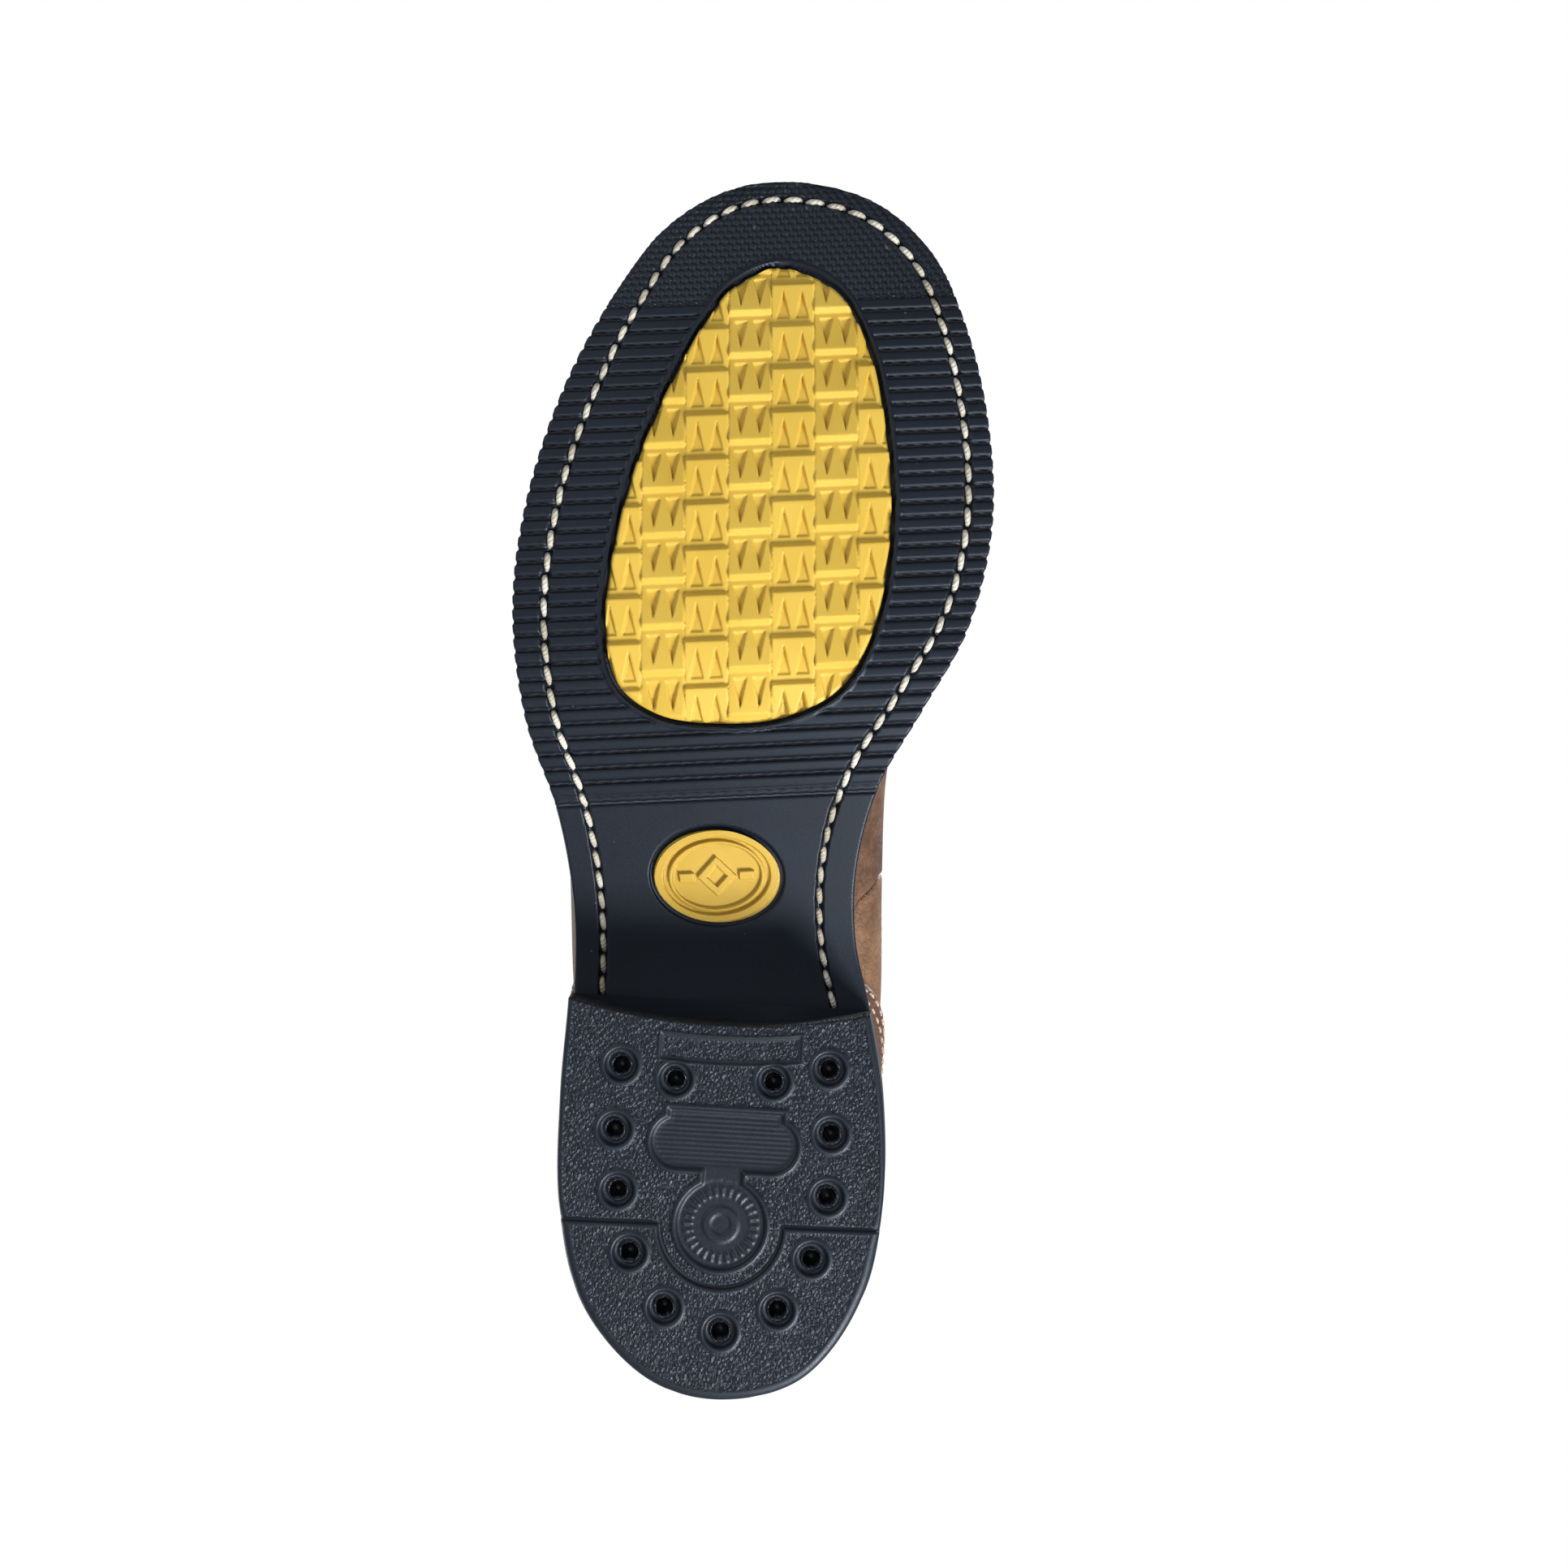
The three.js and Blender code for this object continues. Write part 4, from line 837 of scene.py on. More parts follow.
def heel_distance(x, y):
    """Distance from the heel's outline on the ground, up to 4 mm."""
    return np.minimum(path_distance(x, y, np.vstack([heel_edge, heel_edge[:1]]), 9)[0], 4)


def build_heel():
    """Rows run from the breast to the back, each bent to the breast's hollow at the front."""
    rows, columns, front_y = 270, 250, -93.0
    ground, top = Outline(heel_edge), Outline(edge.points)
    across = np.linspace(-1, 1, columns)
    base_rows = np.linspace(front_y, ground.high, rows)
    base_rows[-6:] = ground.high - np.array([0.9, 0.5, 0.25, 0.1, 0.03, 0.004])
    outer, inner = ground.span(base_rows)
    x = (outer + inner)[:, None] / 2 + (inner - outer)[:, None] / 2 * across
    y = np.repeat(base_rows[:, None], columns, 1)
    y = y + (breast_line(x) - front_y) * np.clip(1 - (y - front_y) / 30, 0, 1)
    near = heel_distance(x, y)
    roll = mix(1.1, 2.1, ramp(y, -46, -38))
    recess, grain = heel_relief(x, y)
    z = recess + rolled(near, roll) + rolled(np.clip(y - breast_line(x), 0, 1), 0.35)
    grain = grain * ramp(near, roll, roll + 0.6)
    top_z = HEEL_HEIGHT - GAP
    top_outer, top_inner = top.span(np.clip(base_rows, top.low, top.high - 0.01))

    def wall(k, low, high):
        return [np.stack([mix(low, high, level), y[:, k], mix(z[:, k], top_z, level)], 1)
                for level in (0.06, 0.3, 0.6, 0.93, 1.0)]

    left, right = wall(0, outer, top_outer), wall(-1, inner, top_inner)
    strips = left[::-1] + [np.stack([x[:, k], y[:, k], z[:, k]], 1) for k in range(columns)] + right
    points = np.stack(strips, 1)
    count = points.shape[1]
    faces = grid_faces(rows, count, wrap=True).tolist()
    points = points.reshape(-1, 3)
    # Front and back walls rise from the first and last row.
    for row in (0, rows - 1):
        ids = row * count + len(left) + np.arange(columns)
        upper = points[ids].copy()
        upper[:, 2] = top_z
        upper[:, 0] += across * (top_inner - inner)[row]
        start = len(points)
        points = np.vstack([points, upper])
        quads = [[ids[k], start + k, start + k + 1, ids[k + 1]] for k in range(columns - 1)]
        faces += reversed_faces(quads) if row else quads
    heel = make("heel_moulded_block", points, faces, "heel_rubber", "heel_block")
    shown = np.zeros(len(points))
    shown[: rows * count].reshape(rows, count)[:, len(left): len(left) + columns] = grain
    heel.data.attributes.new("grain", "FLOAT", "POINT").data.foreach_set("value", shown)


def turned(profile, centre, sides=24):
    """A body turned round an upright axis through centre; its (radius, height) pairs start and end on it."""
    x, y = centre
    turns = [2 * math.pi * k / sides for k in range(sides)]
    points = [(x, y, profile[0][1])]
    for radius, height in profile[1:-1]:
        points += [(x + radius * math.cos(a), y + radius * math.sin(a), height) for a in turns]
    points.append((x, y, profile[-1][1]))
    last = len(points) - 1
    top = last - sides
    faces = [(0, 1 + (k + 1) % sides, 1 + k) for k in range(sides)]
    faces += (grid_faces(len(profile) - 2, sides, wrap=True) + 1).tolist()
    faces += [(top + k, top + (k + 1) % sides, last) for k in range(sides)]
    return points, faces


NAIL_PROFILE = [(0, 4.6), (0.5, 4.7), (1.0, 5.4), (1.5, 6.0), (1.95, 6.2), (2.0, 6.6), (1.9, 7.1), (1.1, 7.2),
                (1.1, 37), (0, 37.4)]


def build_nails():
    for number, spot in enumerate(HEEL_NAILS, 1):
        name = f"heel_nail_{number:02d}"
        make(name + "_wire", *turned(NAIL_PROFILE, spot), "nail_steel", name)


# ------------------------------------------------------------ edges of the sole
def ring_path(points, height):
    return np.column_stack([points, sole_line(points[:, 1]) + height])


def build_edges():
    ring = even(edge.points, 720)
    midsole = rounded(MIDSOLE_LOW, MIDSOLE_HIGH, 0.25, 22, 0.8)
    make("midsole_strip", *sweep(ring_path(ring, 0), lambda s: midsole), "black_rubber", "midsole")
    low = ring[:, 1] < SHANK_LINE
    ring = np.roll(ring, -int(np.argmax(~low & np.roll(low, 1))), 0)
    seat, front = ring[ring[:, 1] >= SHANK_LINE], ring[ring[:, 1] < SHANK_LINE]
    welt = rounded(WELT_LOW, WELT_HIGH, 1.0, 16, 0.9)

    def welt_profile(share):
        """The welt's top edge carries the fine marks of a wheel."""
        wheel = 0.12 * math.cos(share * len(front) * 0.9)
        return [(x + (0.15 if x < 3 else 0), z + (wheel if z > WELT_LOW + 1.5 and x < 8 else 0))
                for x, z in welt]

    make("welt_strip", *sweep(ring_path(front, 0), welt_profile, closed=False), "welt_leather", "welt")
    rand = rounded(WELT_LOW, WELT_HIGH, 1.2, 14, 1.0)
    rand_body = sweep(ring_path(seat, 0), lambda s: rand, closed=False)
    make("heel_rand_strip", *rand_body, "welt_leather", "heel_rand")


# ------------------------------------------------------------ stitches
def stitches(path, normals, pitch, length, radius, sink=0.35, lean=0.0, sides=8, rise=0.55):
    """Separate short threads laid end to end along a path, each diving in at both ends."""
    along = np.concatenate([[0], np.cumsum(np.linalg.norm(np.diff(path, axis=0), axis=1))])
    count = int(along[-1] // pitch)
    lengthways = np.linspace(-1, 1, 9)
    turns = np.linspace(0, 2 * math.pi, sides + 1)[:-1]
    points, faces = [], []

    def at(where, values):
        return np.array([np.interp(where, along, values[:, k]) for k in range(3)])

    for n in range(count):
        middle = (n + 0.5) * along[-1] / count
        normal = at(middle, normals)
        normal /= np.linalg.norm(normal)
        faces += [[len(points) + f for f in face] for face in tube_faces(len(lengthways), sides)]
        for s in lengthways:
            spot = middle + s * length / 2
            ahead = at(spot + 0.1, path) - at(spot - 0.1, path)
            ahead /= np.linalg.norm(ahead) + 1e-9
            side = np.cross(normal, ahead)
            side /= np.linalg.norm(side) + 1e-9
            thick = radius * (1 - 0.42 * abs(s) ** 3)
            centre = at(spot, path) + normal * (radius * rise - sink * 2.2 * abs(s) ** 3.2) + side * lean * s
            points += [centre + thick * (side * 1.12 * math.cos(a) + normal * math.sin(a)) for a in turns]
    return np.array(points), faces


STITCH_LENGTH = 4.9


def build_sole_stitches():
    line = even(seam, 900, closed=False)
    under = ring_path(line, 1.15 + shank_recess(line[:, 0], line[:, 1]))
    threads = stitches(under, np.tile([0, 0, -1.0], (len(under), 1)), STITCH_PITCH, STITCH_LENGTH, 0.72,
                       sink=0.6, lean=0.25)
    make("sole_lockstitch", *threads, "thread", "outsole_stitch_thread")
    run = np.roll(inset(edge.points, 5.0), -int(edge.points[:, 1].argmax()), 0)
    above = ring_path(run[run[:, 1] < -112], WELT_HIGH + 0.05)
    threads = stitches(above, np.tile([0, 0, 1.0], (len(above), 1)), STITCH_PITCH, STITCH_LENGTH, 0.65,
                       sink=0.4, lean=0.2)
    make("welt_lockstitch", *threads, "thread", "welt_stitch_thread")


build_outsole()
build_insert()
build_badge()
build_heel()
build_nails()
build_edges()
build_sole_stitches()


# ------------------------------------------------------------ the upper's surface
def extension(y):
    """From the sole's edge to the upper."""
    return mix(8.5, 4.5, ease((y - SHANK_LINE) / 30))


feather = Outline(inset(edge.points, extension))


def seat_height(y):
    return sole_line(y) + SEAT


def turn_values(values, turn, sign):
    """Values at eight equal turns, front to back, interpolated; sign says how they carry on past an end."""
    padded = np.array([sign * values[1], *values, sign * values[-2]])
    k = np.minimum(np.floor(turn).astype(int), 7)
    f = turn - k
    a, b, c, d = (padded[k + i] for i in range(4))
    return b + 0.5 * f * (c - a + f * (2 * a - 5 * b + 4 * c - d + f * (3 * (b - c) + d - a)))


def ring_points(ring, angle, dip):
    """Points of one ring of the upper at angles from 0 (front) to 2 pi, the inner side first."""
    outline = Outline(inset(feather.points, -ring["swell"])) if "swell" in ring else None
    front, back = (outline.low, outline.high) if outline else (ring["front"][0], ring["back"][0])
    rise = ring["rise"] if outline else (ring["front"][1], ring["back"][1])
    share = (1 - np.cos(angle)) / 2
    y = mix(front, back, share)
    straight = mix(seat_height(front), seat_height(back), share)
    z = straight + mix(*rise, share) + ring["hug"] * (seat_height(y) - straight) - dip * np.sin(angle) ** 2
    inner_side = angle <= np.pi
    if outline:
        outer, inner = outline.span(y)
        x = np.where(inner_side, inner, outer)
        on_line = np.abs(np.sin(angle)) < 1e-6
        x = np.where(on_line, (outer + inner) / 2, x)
    else:
        turns = mix(front, back, (1 - np.cos(np.arange(9) * np.pi / 8)) / 2)
        outer, inner = feather.span(turns)
        centres = mix(np.clip(0.056 * turns, -6, 0), (outer + inner) / 2, ring["hug"])
        turn = np.where(inner_side, angle, 2 * np.pi - angle) * 8 / np.pi
        half = turn_values([0, *ring["half"], 0], turn, -1)
        x = turn_values(centres, turn, 1) + np.where(inner_side, half, -half)
    return np.stack([x, y, z], 1)


COLUMNS, ROWS = 420, 150
angles = np.arange(COLUMNS) * 2 * np.pi / COLUMNS
ring_stack = np.stack([ring_points(r, angles, COLLAR_DIP if r is RINGS[-1] else 0) for r in RINGS], 1)
heights = mix(0.0625, 1, np.arange(ROWS) / (ROWS - 1))
surface = np.stack([catmull(column, heights, ends=True) for column in ring_stack])
surface[..., 2] = np.maximum(surface[..., 2], seat_height(surface[..., 1]))


def surface_normals(points):
    around = np.roll(points, -1, 0) - np.roll(points, 1, 0)
    up = np.gradient(points, axis=1)
    normal = np.cross(around, up)
    level = ramp(np.linspace(0, 1, ROWS), 0.995, 0.93) * ramp(np.linspace(0, 1, ROWS), 0.0, 0.04)
    normal[..., 2] *= level
    return normal / np.linalg.norm(normal, axis=2)[..., None]


normals = surface_normals(surface)
SX, SY, SZ = surface[..., 0], surface[..., 1], surface[..., 2]
CAP_END = feather.low + 58
ANKLE_MIDDLE = -0.056 * 106


def relief_of_leather():
    """How far the leather stands off its plain shape: cap edge, soft creases behind it and slight waves."""
    cap = 0.7 * ramp(SY, CAP_END + 3, CAP_END - 4) - 0.6 * np.exp(-(((SY - CAP_END - 6) / 4.0) ** 2))
    cap = cap * ramp(SZ - seat_height(SY), 4, 14)
    flex = np.exp(-(((SY + 196) / 24) ** 2)) * ramp(SZ - seat_height(SY), 6, 22)
    creases = 0.32 * np.sin((SY + 0.22 * SX + 2.4 * np.sin(SX / 8.0)) / 2.9) * flex
    ankle = np.exp(-(((SZ - 96) / 22) ** 2)) * ramp(SY, -150, -120)
    folds = 0.4 * np.sin((SZ + 0.3 * SY + 3 * np.sin(SY / 13)) / 4.6) * ankle
    waves = 0.28 * np.sin(0.047 * SY + 1.3) * np.sin(0.066 * SZ + 0.02 * SX)
    ripples = 0.12 * np.sin(0.13 * SY + 0.1 * SZ)
    fade = ramp(SZ - seat_height(SY), 1, 9)
    return (cap + creases + folds + waves + ripples) * fade


leather_relief = relief_of_leather()


def pattern(points):
    """A side-view outline (y, z) with its corners rounded as in the CAD part."""
    pts = np.asarray(points, float)
    n = len(pts)
    out = []
    for i in range(n):
        p0, p1, p2, p3 = pts[i - 1], pts[i], pts[(i + 1) % n], pts[(i + 2) % n]
        t0, t1 = 0.35 * (p2 - p0), 0.35 * (p3 - p1)
        w = (np.arange(12) / 12)[:, None]
        out.append((2 * p1 - 2 * p2 + t0 + t1) * w**3 + (-3 * p1 + 3 * p2 - 2 * t0 - t1) * w**2 + t0 * w + p1)
    return np.vstack(out)


def side_distance(outline, y=SY, z=SZ):
    """Signed distance in the side view, negative inside a closed outline."""
    a, b = outline, np.roll(outline, -1, 0)
    best = np.full(y.shape, 1e9)
    inside = np.zeros(y.shape, bool)
    for (ay, az), (by, bz) in zip(a, b):
        dy, dz = by - ay, bz - az
        t = np.clip(((y - ay) * dy + (z - az) * dz) / (dy * dy + dz * dz + 1e-12), 0, 1)
        best = np.minimum(best, (y - ay - t * dy) ** 2 + (z - az - t * dz) ** 2)
        if bz != az:
            inside ^= ((az > z) != (bz > z)) & (y < ay + (z - az) * dy / dz)
    return np.where(inside, -1, 1) * np.sqrt(best)


gore_outline = pattern(GORE_LINE)
counter_outline = pattern(COUNTER_LINE)
front_outline = np.array([(-612, -20), *VAMP_SEAM, (-612, 400)], float)
to_gore, to_counter, to_front = (side_distance(o) for o in (gore_outline, counter_outline, front_outline))


def at_depth(depth):
    return surface + normals * (leather_relief - depth)[..., None]


def cut_shell(name, keep, depths, slot, replaces, look=None, round_off=0.9, puff=0.0):
    """A closed piece of the upper between two depths, where keep, the distance from its edge, is above 0."""
    outer_depth, inner_depth = depths
    near = 1 - np.clip(keep / round_off, 0, 1)
    outer = at_depth(outer_depth + round_off * (1 - np.sqrt(1 - near**2)) - puff).reshape(-1, 3)
    inner = at_depth(inner_depth).reshape(-1, 3)
    flat = keep.reshape(-1)
    i, j = np.meshgrid(np.arange(COLUMNS), np.arange(ROWS - 1), indexing="ij")
    n = (i + 1) % COLUMNS
    quads = np.stack([i * ROWS + j, n * ROWS + j, n * ROWS + j + 1, i * ROWS + j + 1], -1).reshape(-1, 4)
    inside = flat[quads] > 0
    faces = quads[inside.all(1)].tolist()
    pairs, total = {}, len(flat)
    for quad in quads[inside.any(1) & ~inside.all(1)]:
        loop = []
        for a, b in zip(quad, np.roll(quad, -1)):
            if flat[a] > 0:
                loop.append(int(a))
            if (flat[a] > 0) != (flat[b] > 0):
                loop.append(total + pairs.setdefault((min(a, b), max(a, b)), len(pairs)))
        faces.append(loop)
    a, b = np.array(list(pairs)).T
    w = (flat[a] / (flat[a] - flat[b]))[:, None]
    way = normals.reshape(-1, 3)
    base = at_depth(0).reshape(-1, 3)
    cut, cut_way = mix(base[a], base[b], w), mix(way[a], way[b], w)
    outer = np.vstack([outer, cut - cut_way * (outer_depth + round_off - np.mean(puff))])
    inner = np.vstack([inner, cut - cut_way * inner_depth])
    used = np.unique(np.concatenate([np.array(f) for f in faces]))
    fresh = {int(old): new for new, old in enumerate(used)}
    faces = [[fresh[v] for v in f] for f in faces]
    count = len(used)
    directed = {(f[k - 1], f[k]) for f in faces for k in range(len(f))}
    walls = [[b, a, a + count, b + count] for a, b in directed if (b, a) not in directed]
    back = [[v + count for v in reversed(f)] for f in faces]
    return make(name, np.vstack([outer[used], inner[used]]), faces + back + walls, slot, replaces, look=look)


LEATHER_DEPTHS = (0, LEATHER)
OVERLAY_DEPTHS = (-2.1, -0.15)
MIDDLE_DEPTHS = (2.5, 4.1)
LINING_DEPTHS = (4.7, 5.8)


def build_leather():
    """Vamp, quarter, counter, backstay, elastic and lining; the cut pieces that are sewn through, by name."""
    vamp = np.minimum(-to_front, to_gore)
    quarter = np.minimum(to_front - 0.15, to_gore)
    top = float(SZ[COLUMNS // 2, -1]) - 26.3
    stay = np.minimum(np.minimum(9 - np.abs(SX), top - SZ), np.minimum(SY + 40, to_counter - 0.3))
    cut = {}
    for name, keep, depths, slot, look, round_off in (
        ("vamp", vamp, LEATHER_DEPTHS, "brown_leather", None, 0.6),
        ("rear_quarter", quarter, LEATHER_DEPTHS, "brown_leather", "quarter_leather", 0.9),
        ("outside_counter", -to_counter, OVERLAY_DEPTHS, "counter_leather", None, 0.9),
        ("backstay", stay, OVERLAY_DEPTHS, "counter_leather", None, 0.9),
    ):
        cut[name] = cut_shell(name + "_leather", keep, depths, slot, name, look, round_off)
    bulge = 0.7 * np.clip(-to_gore / 12, 0, 1)
    for side, sign in (("medial", 1), ("lateral", -1)):
        keep = np.minimum(7 - to_gore, sign * (SX - ANKLE_MIDDLE))
        gore = cut_shell("gore_elastic_" + side, keep, MIDDLE_DEPTHS, "elastic", "gore_" + side,
                         round_off=0.3, puff=bulge)
    for name, keep, under, flat, area in (("front", vamp, "vamp_leather", (0.27, 0.24), 0.0373),
                                          ("rear", quarter, "rear_quarter_leather", (0.30, 0.13), 0.0241)):
        cloth = cut_shell("lining_cloth_" + name, keep, LINING_DEPTHS, "lining", "lining_" + name,
                          round_off=0.3)
    return cut


def build_structure():
    """The layer between leather and lining: steel cap, its gasket, interlining, heel stiffener and foam."""
    behind = SY - CAP_END
    back = np.minimum(SY + 103.7, to_gore - 7.4)
    layers = {
        "steel_toe_cap": ("shell", "steel", -behind),
        "toe_cap_gasket": ("strip", "black_rubber", np.minimum(behind - 0.3, 6.3 - behind)),
        "vamp_interlining": ("cloth", "stiffener", np.minimum(np.minimum(behind - 6.6, -104 - SY),
                                                              to_gore - 7.4)),
        "heel_stiffener": ("board", "stiffener", np.minimum(back, 96 - SZ)),
        "collar_foam": ("layer", "felt", np.minimum(back, SZ - 96.3)),
    }
    for name, (word, slot, keep) in layers.items():
        layer = cut_shell(f"{name}_{word}", keep, MIDDLE_DEPTHS, slot, name, round_off=0.3)


# ------------------------------------------------------------ collar, footbed, loops
TAPE_SECTION = [  # depth into the boot and height over the collar's edge
    (-0.15, -7.2), (-0.75, -7.0), (-0.85, -3.5), (-0.8, 0.0), (-0.4, 1.9), (0.9, 2.75), (2.65, 2.95),
    (4.5, 2.75), (5.9, 1.9), (6.5, 0.0), (6.55, -3.5), (6.45, -7.0), (5.85, -7.2), (5.8, 0.1), (-0.15, 0.1),
]


def build_binding():
    """Leather tape folded over the collar's edge; the line its seam takes, and the way out from it."""
    rim, way = surface[:, -1], normals[:, -1]
    tangent = rim - surface[:, -9]
    tangent /= np.linalg.norm(tangent, axis=1)[:, None]
    profile = catmull(TAPE_SECTION, np.linspace(0, 1, 40, endpoint=False))
    points = np.stack([rim - way * depth + tangent * height for depth, height in profile], 1)
    make("collar_binding_tape", points.reshape(-1, 3), tube_faces(*points.shape[:2], closed=True), "webbing",
         "collar_binding", look="binding")
    line = rim + way * 0.85 + tangent * -5.0
    return np.vstack([line, line[:1]]), np.vstack([way, way[:1]])


def build_footbed():
    outline = Outline(inset(feather.points, 6.4))

    def top(x, y):
        outer, inner = outline.span(y)
        share = (x - (outer + inner) / 2) / ((inner - outer) / 2)
        cup = 2.2 * np.abs(share) ** 2.5 * ramp(y, -170, -60) * (y > -175)
        arch = 1.6 * np.clip(share, 0, 1) ** 2 * np.exp(-(((y + 115) / 35) ** 2))
        return sole_line(y) + SEAT + 8.3 + 0.35 * cup + 0.4 * arch + 0.12 * np.sin(x / 1.7) * np.sin(y / 1.7)

    points, faces = relief(outline, top, lambda y: sole_line(y) + SEAT + 3.4, step=1.2, columns=80, roll=1.6,
                           lift_sign=-1)
    bed = make("footbed_pad", points, reversed_faces(faces), "felt", "footbed")


def band(path, middle, width, thickness, closed=True):
    """Webbing of some width along X that follows a (y, z) path, with soft edges."""
    along = (np.roll(path, -1, 0) - np.roll(path, 1, 0)) if closed else np.gradient(path, axis=0)
    along /= np.linalg.norm(along, axis=1)[:, None]
    out = np.stack([along[:, 1], -along[:, 0]], 1)
    half, t = width / 2, thickness / 2
    top = [(x, t * (1 + 0.12 * (abs(x) > half - 1.6))) for x in np.linspace(-half + 0.35, half - 0.35, 17)]
    upper = [(-half, 0.35 * t), *top, (half, 0.35 * t)]
    ring = np.roll(upper + [(x, -h) for x, h in upper[::-1]], -1, 0)
    points = np.zeros((len(path), len(ring), 3))
    points[..., 0] = middle + ring[:, 0]
    points[..., 1:] = path[:, None] + out[:, None] * ring[:, 1][None, :, None]
    return points.reshape(-1, 3), tube_faces(len(path), len(ring), closed)


def outward(points, faces):
    """Turns every face round if the body is inside out."""
    volume = 0.0
    for f in faces:
        for k in range(1, len(f) - 1):
            volume += np.dot(points[f[0]], np.cross(points[f[k]], points[f[k + 1]]))
    return faces if volume > 0 else reversed_faces(faces)


def make_webbing(name, points, faces, path, width, rests_on, replaces, body="boot"):
    piece = make(name, points, outward(points, faces), "webbing", replaces, body)


LOOP_TOP, LOOP_RADIUS, PIN_RADIUS = 34 - 8.6, 7.85, 1.0


def build_loops():
    for end, column, inward in (("front", 0, 1), ("rear", COLUMNS // 2, -1)):
        x, y, z = surface[column, -1]
        hinge_y, hinge_z = y + inward * WALL / 2, z + 6.5
        top_z = hinge_z + LOOP_TOP
        lean = math.asin((LOOP_RADIUS - 0.85) / LOOP_TOP)
        path = []
        for radius, centre_z, start, stop, count in ((LOOP_RADIUS, top_z, -lean, math.pi + lean, 40),
                                                     (PIN_RADIUS, hinge_z, math.pi + lean, 2 * math.pi - lean, 12)):
            path += [(hinge_y + radius * math.cos(a), centre_z + radius * math.sin(a))
                     for a in np.linspace(start, stop, count)]
        path = even(path, 120)
        make_webbing(end + "_webbing_loop", *band(path, x, 21.6, 1.5), path, 21.6, end + "_loop_anchor",
                     end + "_pull_loop", end + "_loop")
        build_anchor(end, column, inward)


def build_anchor(end, column, inward):
    """Webbing sewn over the collar, from the leather outside to the lining inside."""
    x, y, z = surface[column, -1]

    def hanging(depth, reach):
        return [(p[1] + inward * depth, p[2]) for p in surface[column] if z - reach <= p[2] <= z - 1]

    over = [(y + inward * depth, z + height) for depth, height in
            ((-1.15, 1.8), (0.1, 3.9), (WALL / 2, 4.25), (WALL - 0.1, 3.9), (WALL + 1.75, 1.8))]
    path = even(hanging(-1.15, 26) + over + hanging(WALL + 1.75, 14)[::-1], 90, closed=False)
    points, faces = band(path, x, 21.8, 1.4, closed=False)
    make_webbing(end + "_webbing_anchor", bend_to_boot(points, column), faces, path, 21.8,
                 "collar_binding_tape", end + "_loop_anchor")


def bend_to_boot(points, column, reach=30):
    """Makes webbing that was laid flat against the boot's front or back follow the curve in plan."""
    near = surface[(column + np.arange(-reach, reach + 1)) % COLUMNS]
    out = points.copy()
    for k, (x, _, z) in enumerate(points):
        row = int(np.abs(near[reach, :, 2] - z).argmin())
        line = near[:, row]
        order = line[:, 0].argsort()
        out[k, 1] += np.interp(x, line[order, 0], line[order, 1]) - near[reach, row, 1]
    return out


# ------------------------------------------------------------ sewing on the upper
def tree_of(piece):
    mesh = piece.data
    return BVHTree.FromPolygons([v.co for v in mesh.vertices], [tuple(p.vertices) for p in mesh.polygons])


SIDEWAYS = 0.35


def round_the_back(by):
    """The counter's top seam where it turns round the heel, by mm inside its edge: points and normals."""
    spots, ways = [], []
    for column in range(COLUMNS // 4, 3 * COLUMNS // 4):
        inside = -to_counter[column] - by
        rows = np.flatnonzero((inside[:-1] > 0) & (inside[1:] <= 0))
        if not len(rows) or abs(normals[column, rows[-1], 0]) >= SIDEWAYS or SY[column, rows[-1]] < -40:
            continue
        row = rows[-1]
        share = inside[row] / (inside[row] - inside[row + 1])
        way = mix(normals[column, row], normals[column, row + 1], share)
        base = mix(surface[column, row], surface[column, row + 1], share)
        stand_off = mix(leather_relief[column, row], leather_relief[column, row + 1], share)
        spots.append(base + way * (2.1 + stand_off))
        ways.append(way)
    return np.array(spots), np.array(ways)


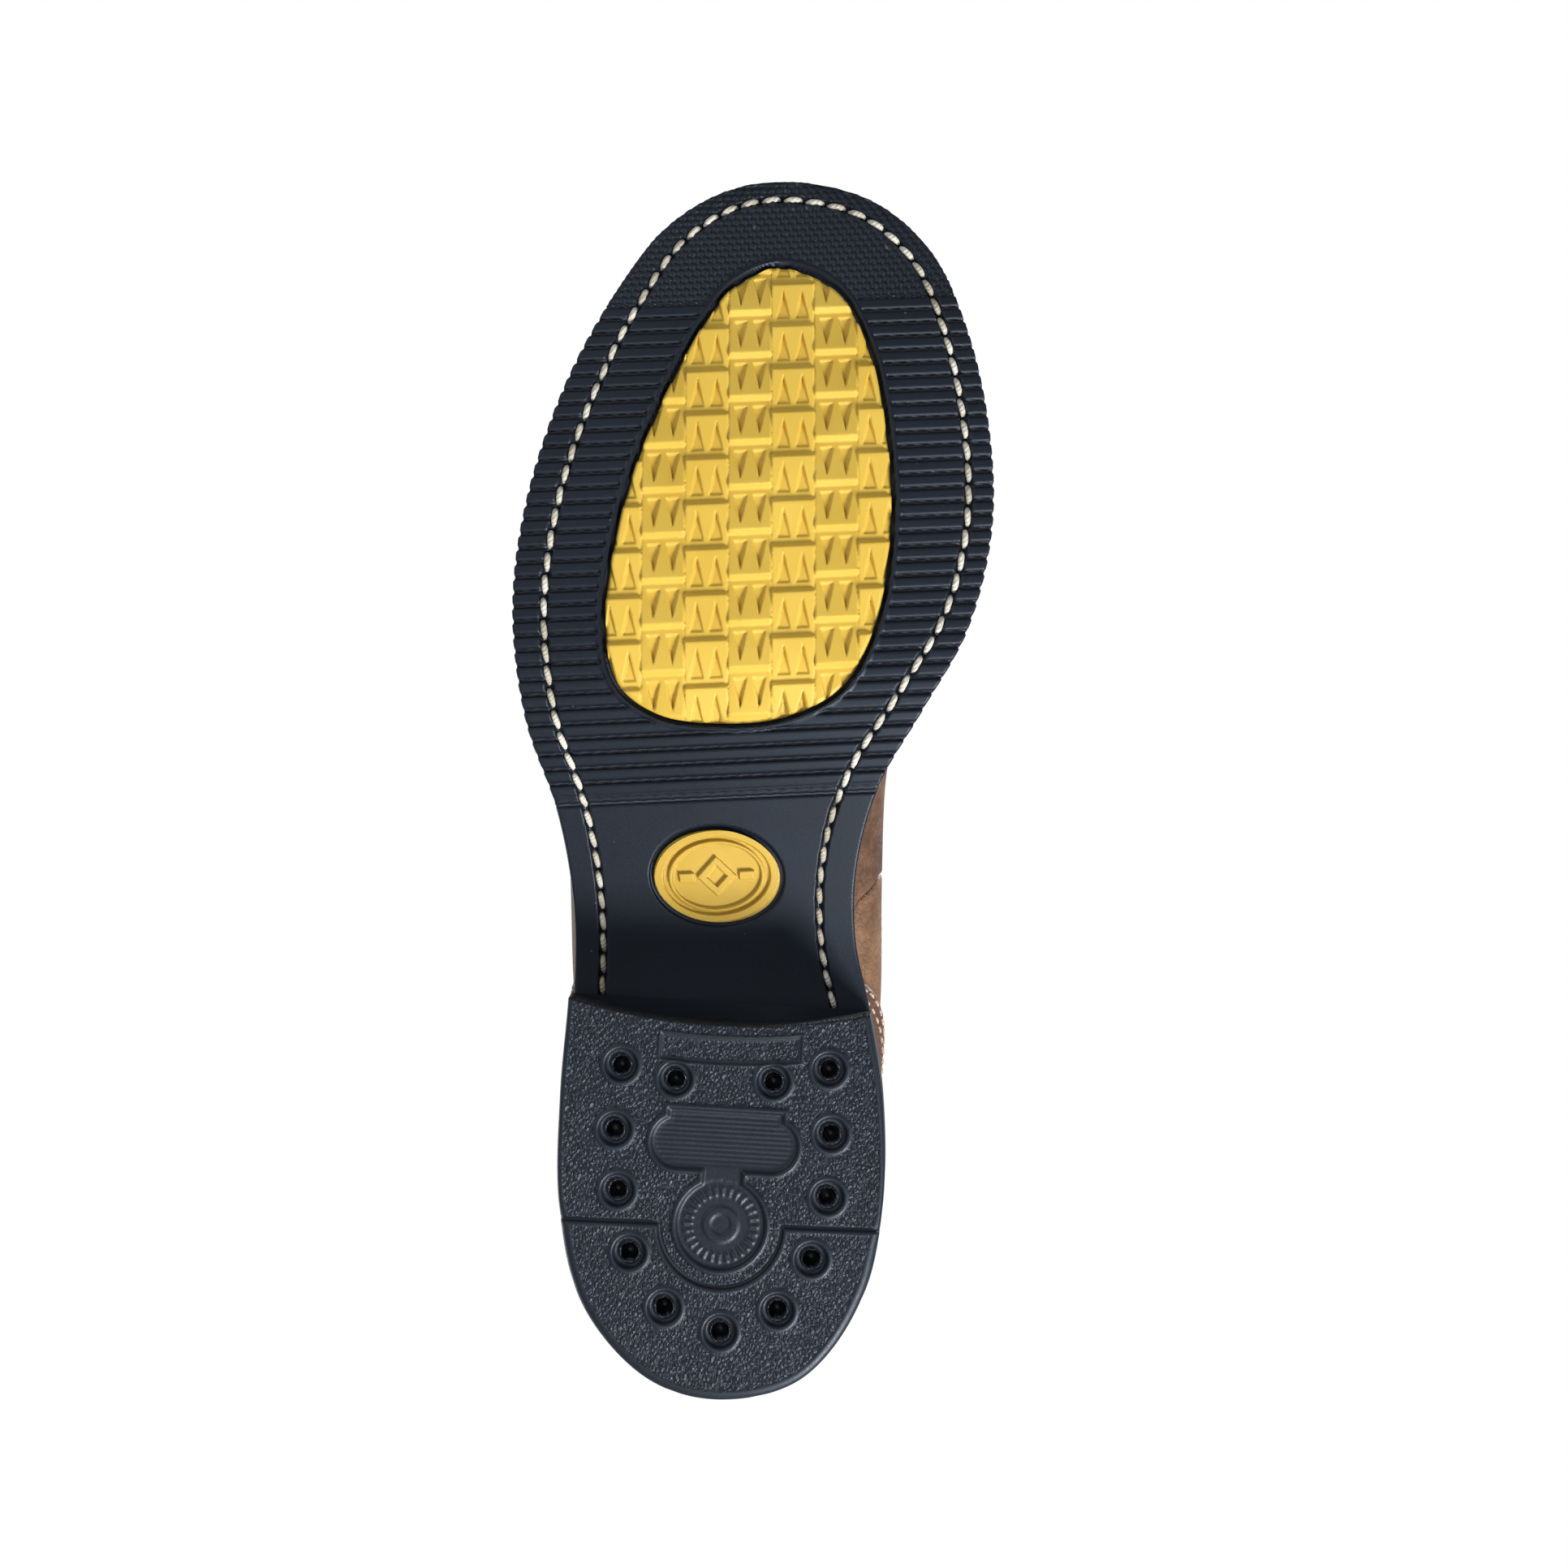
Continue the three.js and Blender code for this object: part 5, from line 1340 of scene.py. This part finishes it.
def project(path, trees, side):
    """Side-view points (y, z) laid onto the first surface met from one side: points and normals in mm."""
    spots, ways = [], []
    for y, z in path:
        start = Vector(place([(side * 150, y, z)])[0])
        hits = [t.ray_cast(start, Vector((-side, 0, 0))) for t in trees]
        hits = [h for h in hits if h[0] is not None]
        if not hits:
            continue
        best = min(hits, key=lambda h: h[3])
        if best[1].x * side < SIDEWAYS:
            continue
        spots.append(np.array(best[0]) * 1000 - SHIFT)
        ways.append(np.array(best[1]))
    return np.array(spots), np.array(ways)


def smooth_ways(ways):
    out = ways.copy()
    for _ in range(4):
        out[1:-1] = (out[:-2] + out[1:-1] * 2 + out[2:]) / 4
    return out / np.linalg.norm(out, axis=1)[:, None]


def right_of(path, by):
    """The path moved to the right of its way; outwards, where it runs anticlockwise."""
    along = np.gradient(path, axis=0)
    along /= np.linalg.norm(along, axis=1)[:, None]
    return path + np.stack([along[:, 1], -along[:, 0]], 1) * by


def upper_seam(name, spots, ways, pitch=3.1, length=2.5, rise=0.2):
    threads = stitches(spots, ways, pitch, length, 0.34, sink=0.2, rise=rise)
    make(name, *threads, "thread", look="upper_thread")


def build_upper_sewing(cut, collar_line):
    leather_trees = [tree_of(cut["vamp"]), tree_of(cut["rear_quarter"])]
    counter_trees = [tree_of(cut["outside_counter"])]

    def sew_both_sides(name, path, trees):
        line = even(path, int(length_of(path) / 0.6), closed=False)
        for side, word in ((1, "medial"), (-1, "lateral")):
            spots, ways = project(line, trees, side)
            upper_seam(f"{name}_{word}", spots, smooth_ways(ways))

    front_edge = counter_outline[(counter_outline[:, 0] < 4) & (counter_outline[:, 1] > 34)]
    for by in (2.6, 4.8):
        name = f"counter_stitch_{by:.0f}"
        sew_both_sides(name, right_of(front_edge, by), counter_trees)
        spots, ways = round_the_back(by)
        upper_seam(name + "_back", spots, smooth_ways(ways))
    gore_edge = np.roll(gore_outline, -int(np.argmax(gore_outline[:, 1])), 0)
    gore_edge = gore_edge[gore_edge[:, 1] < 168]
    for by in (2.4, 4.4):
        outside = right_of(gore_edge, by)
        sew_both_sides(f"gore_stitch_{by:.0f}", outside[outside[:, 1] < 168], leather_trees)
    upper_seam("collar_stitch", *collar_line, pitch=3.2, length=2.6, rise=0.3)


cut = build_leather()
build_structure()
collar_line = build_binding()
build_footbed()
build_loops()
build_upper_sewing(cut, collar_line)
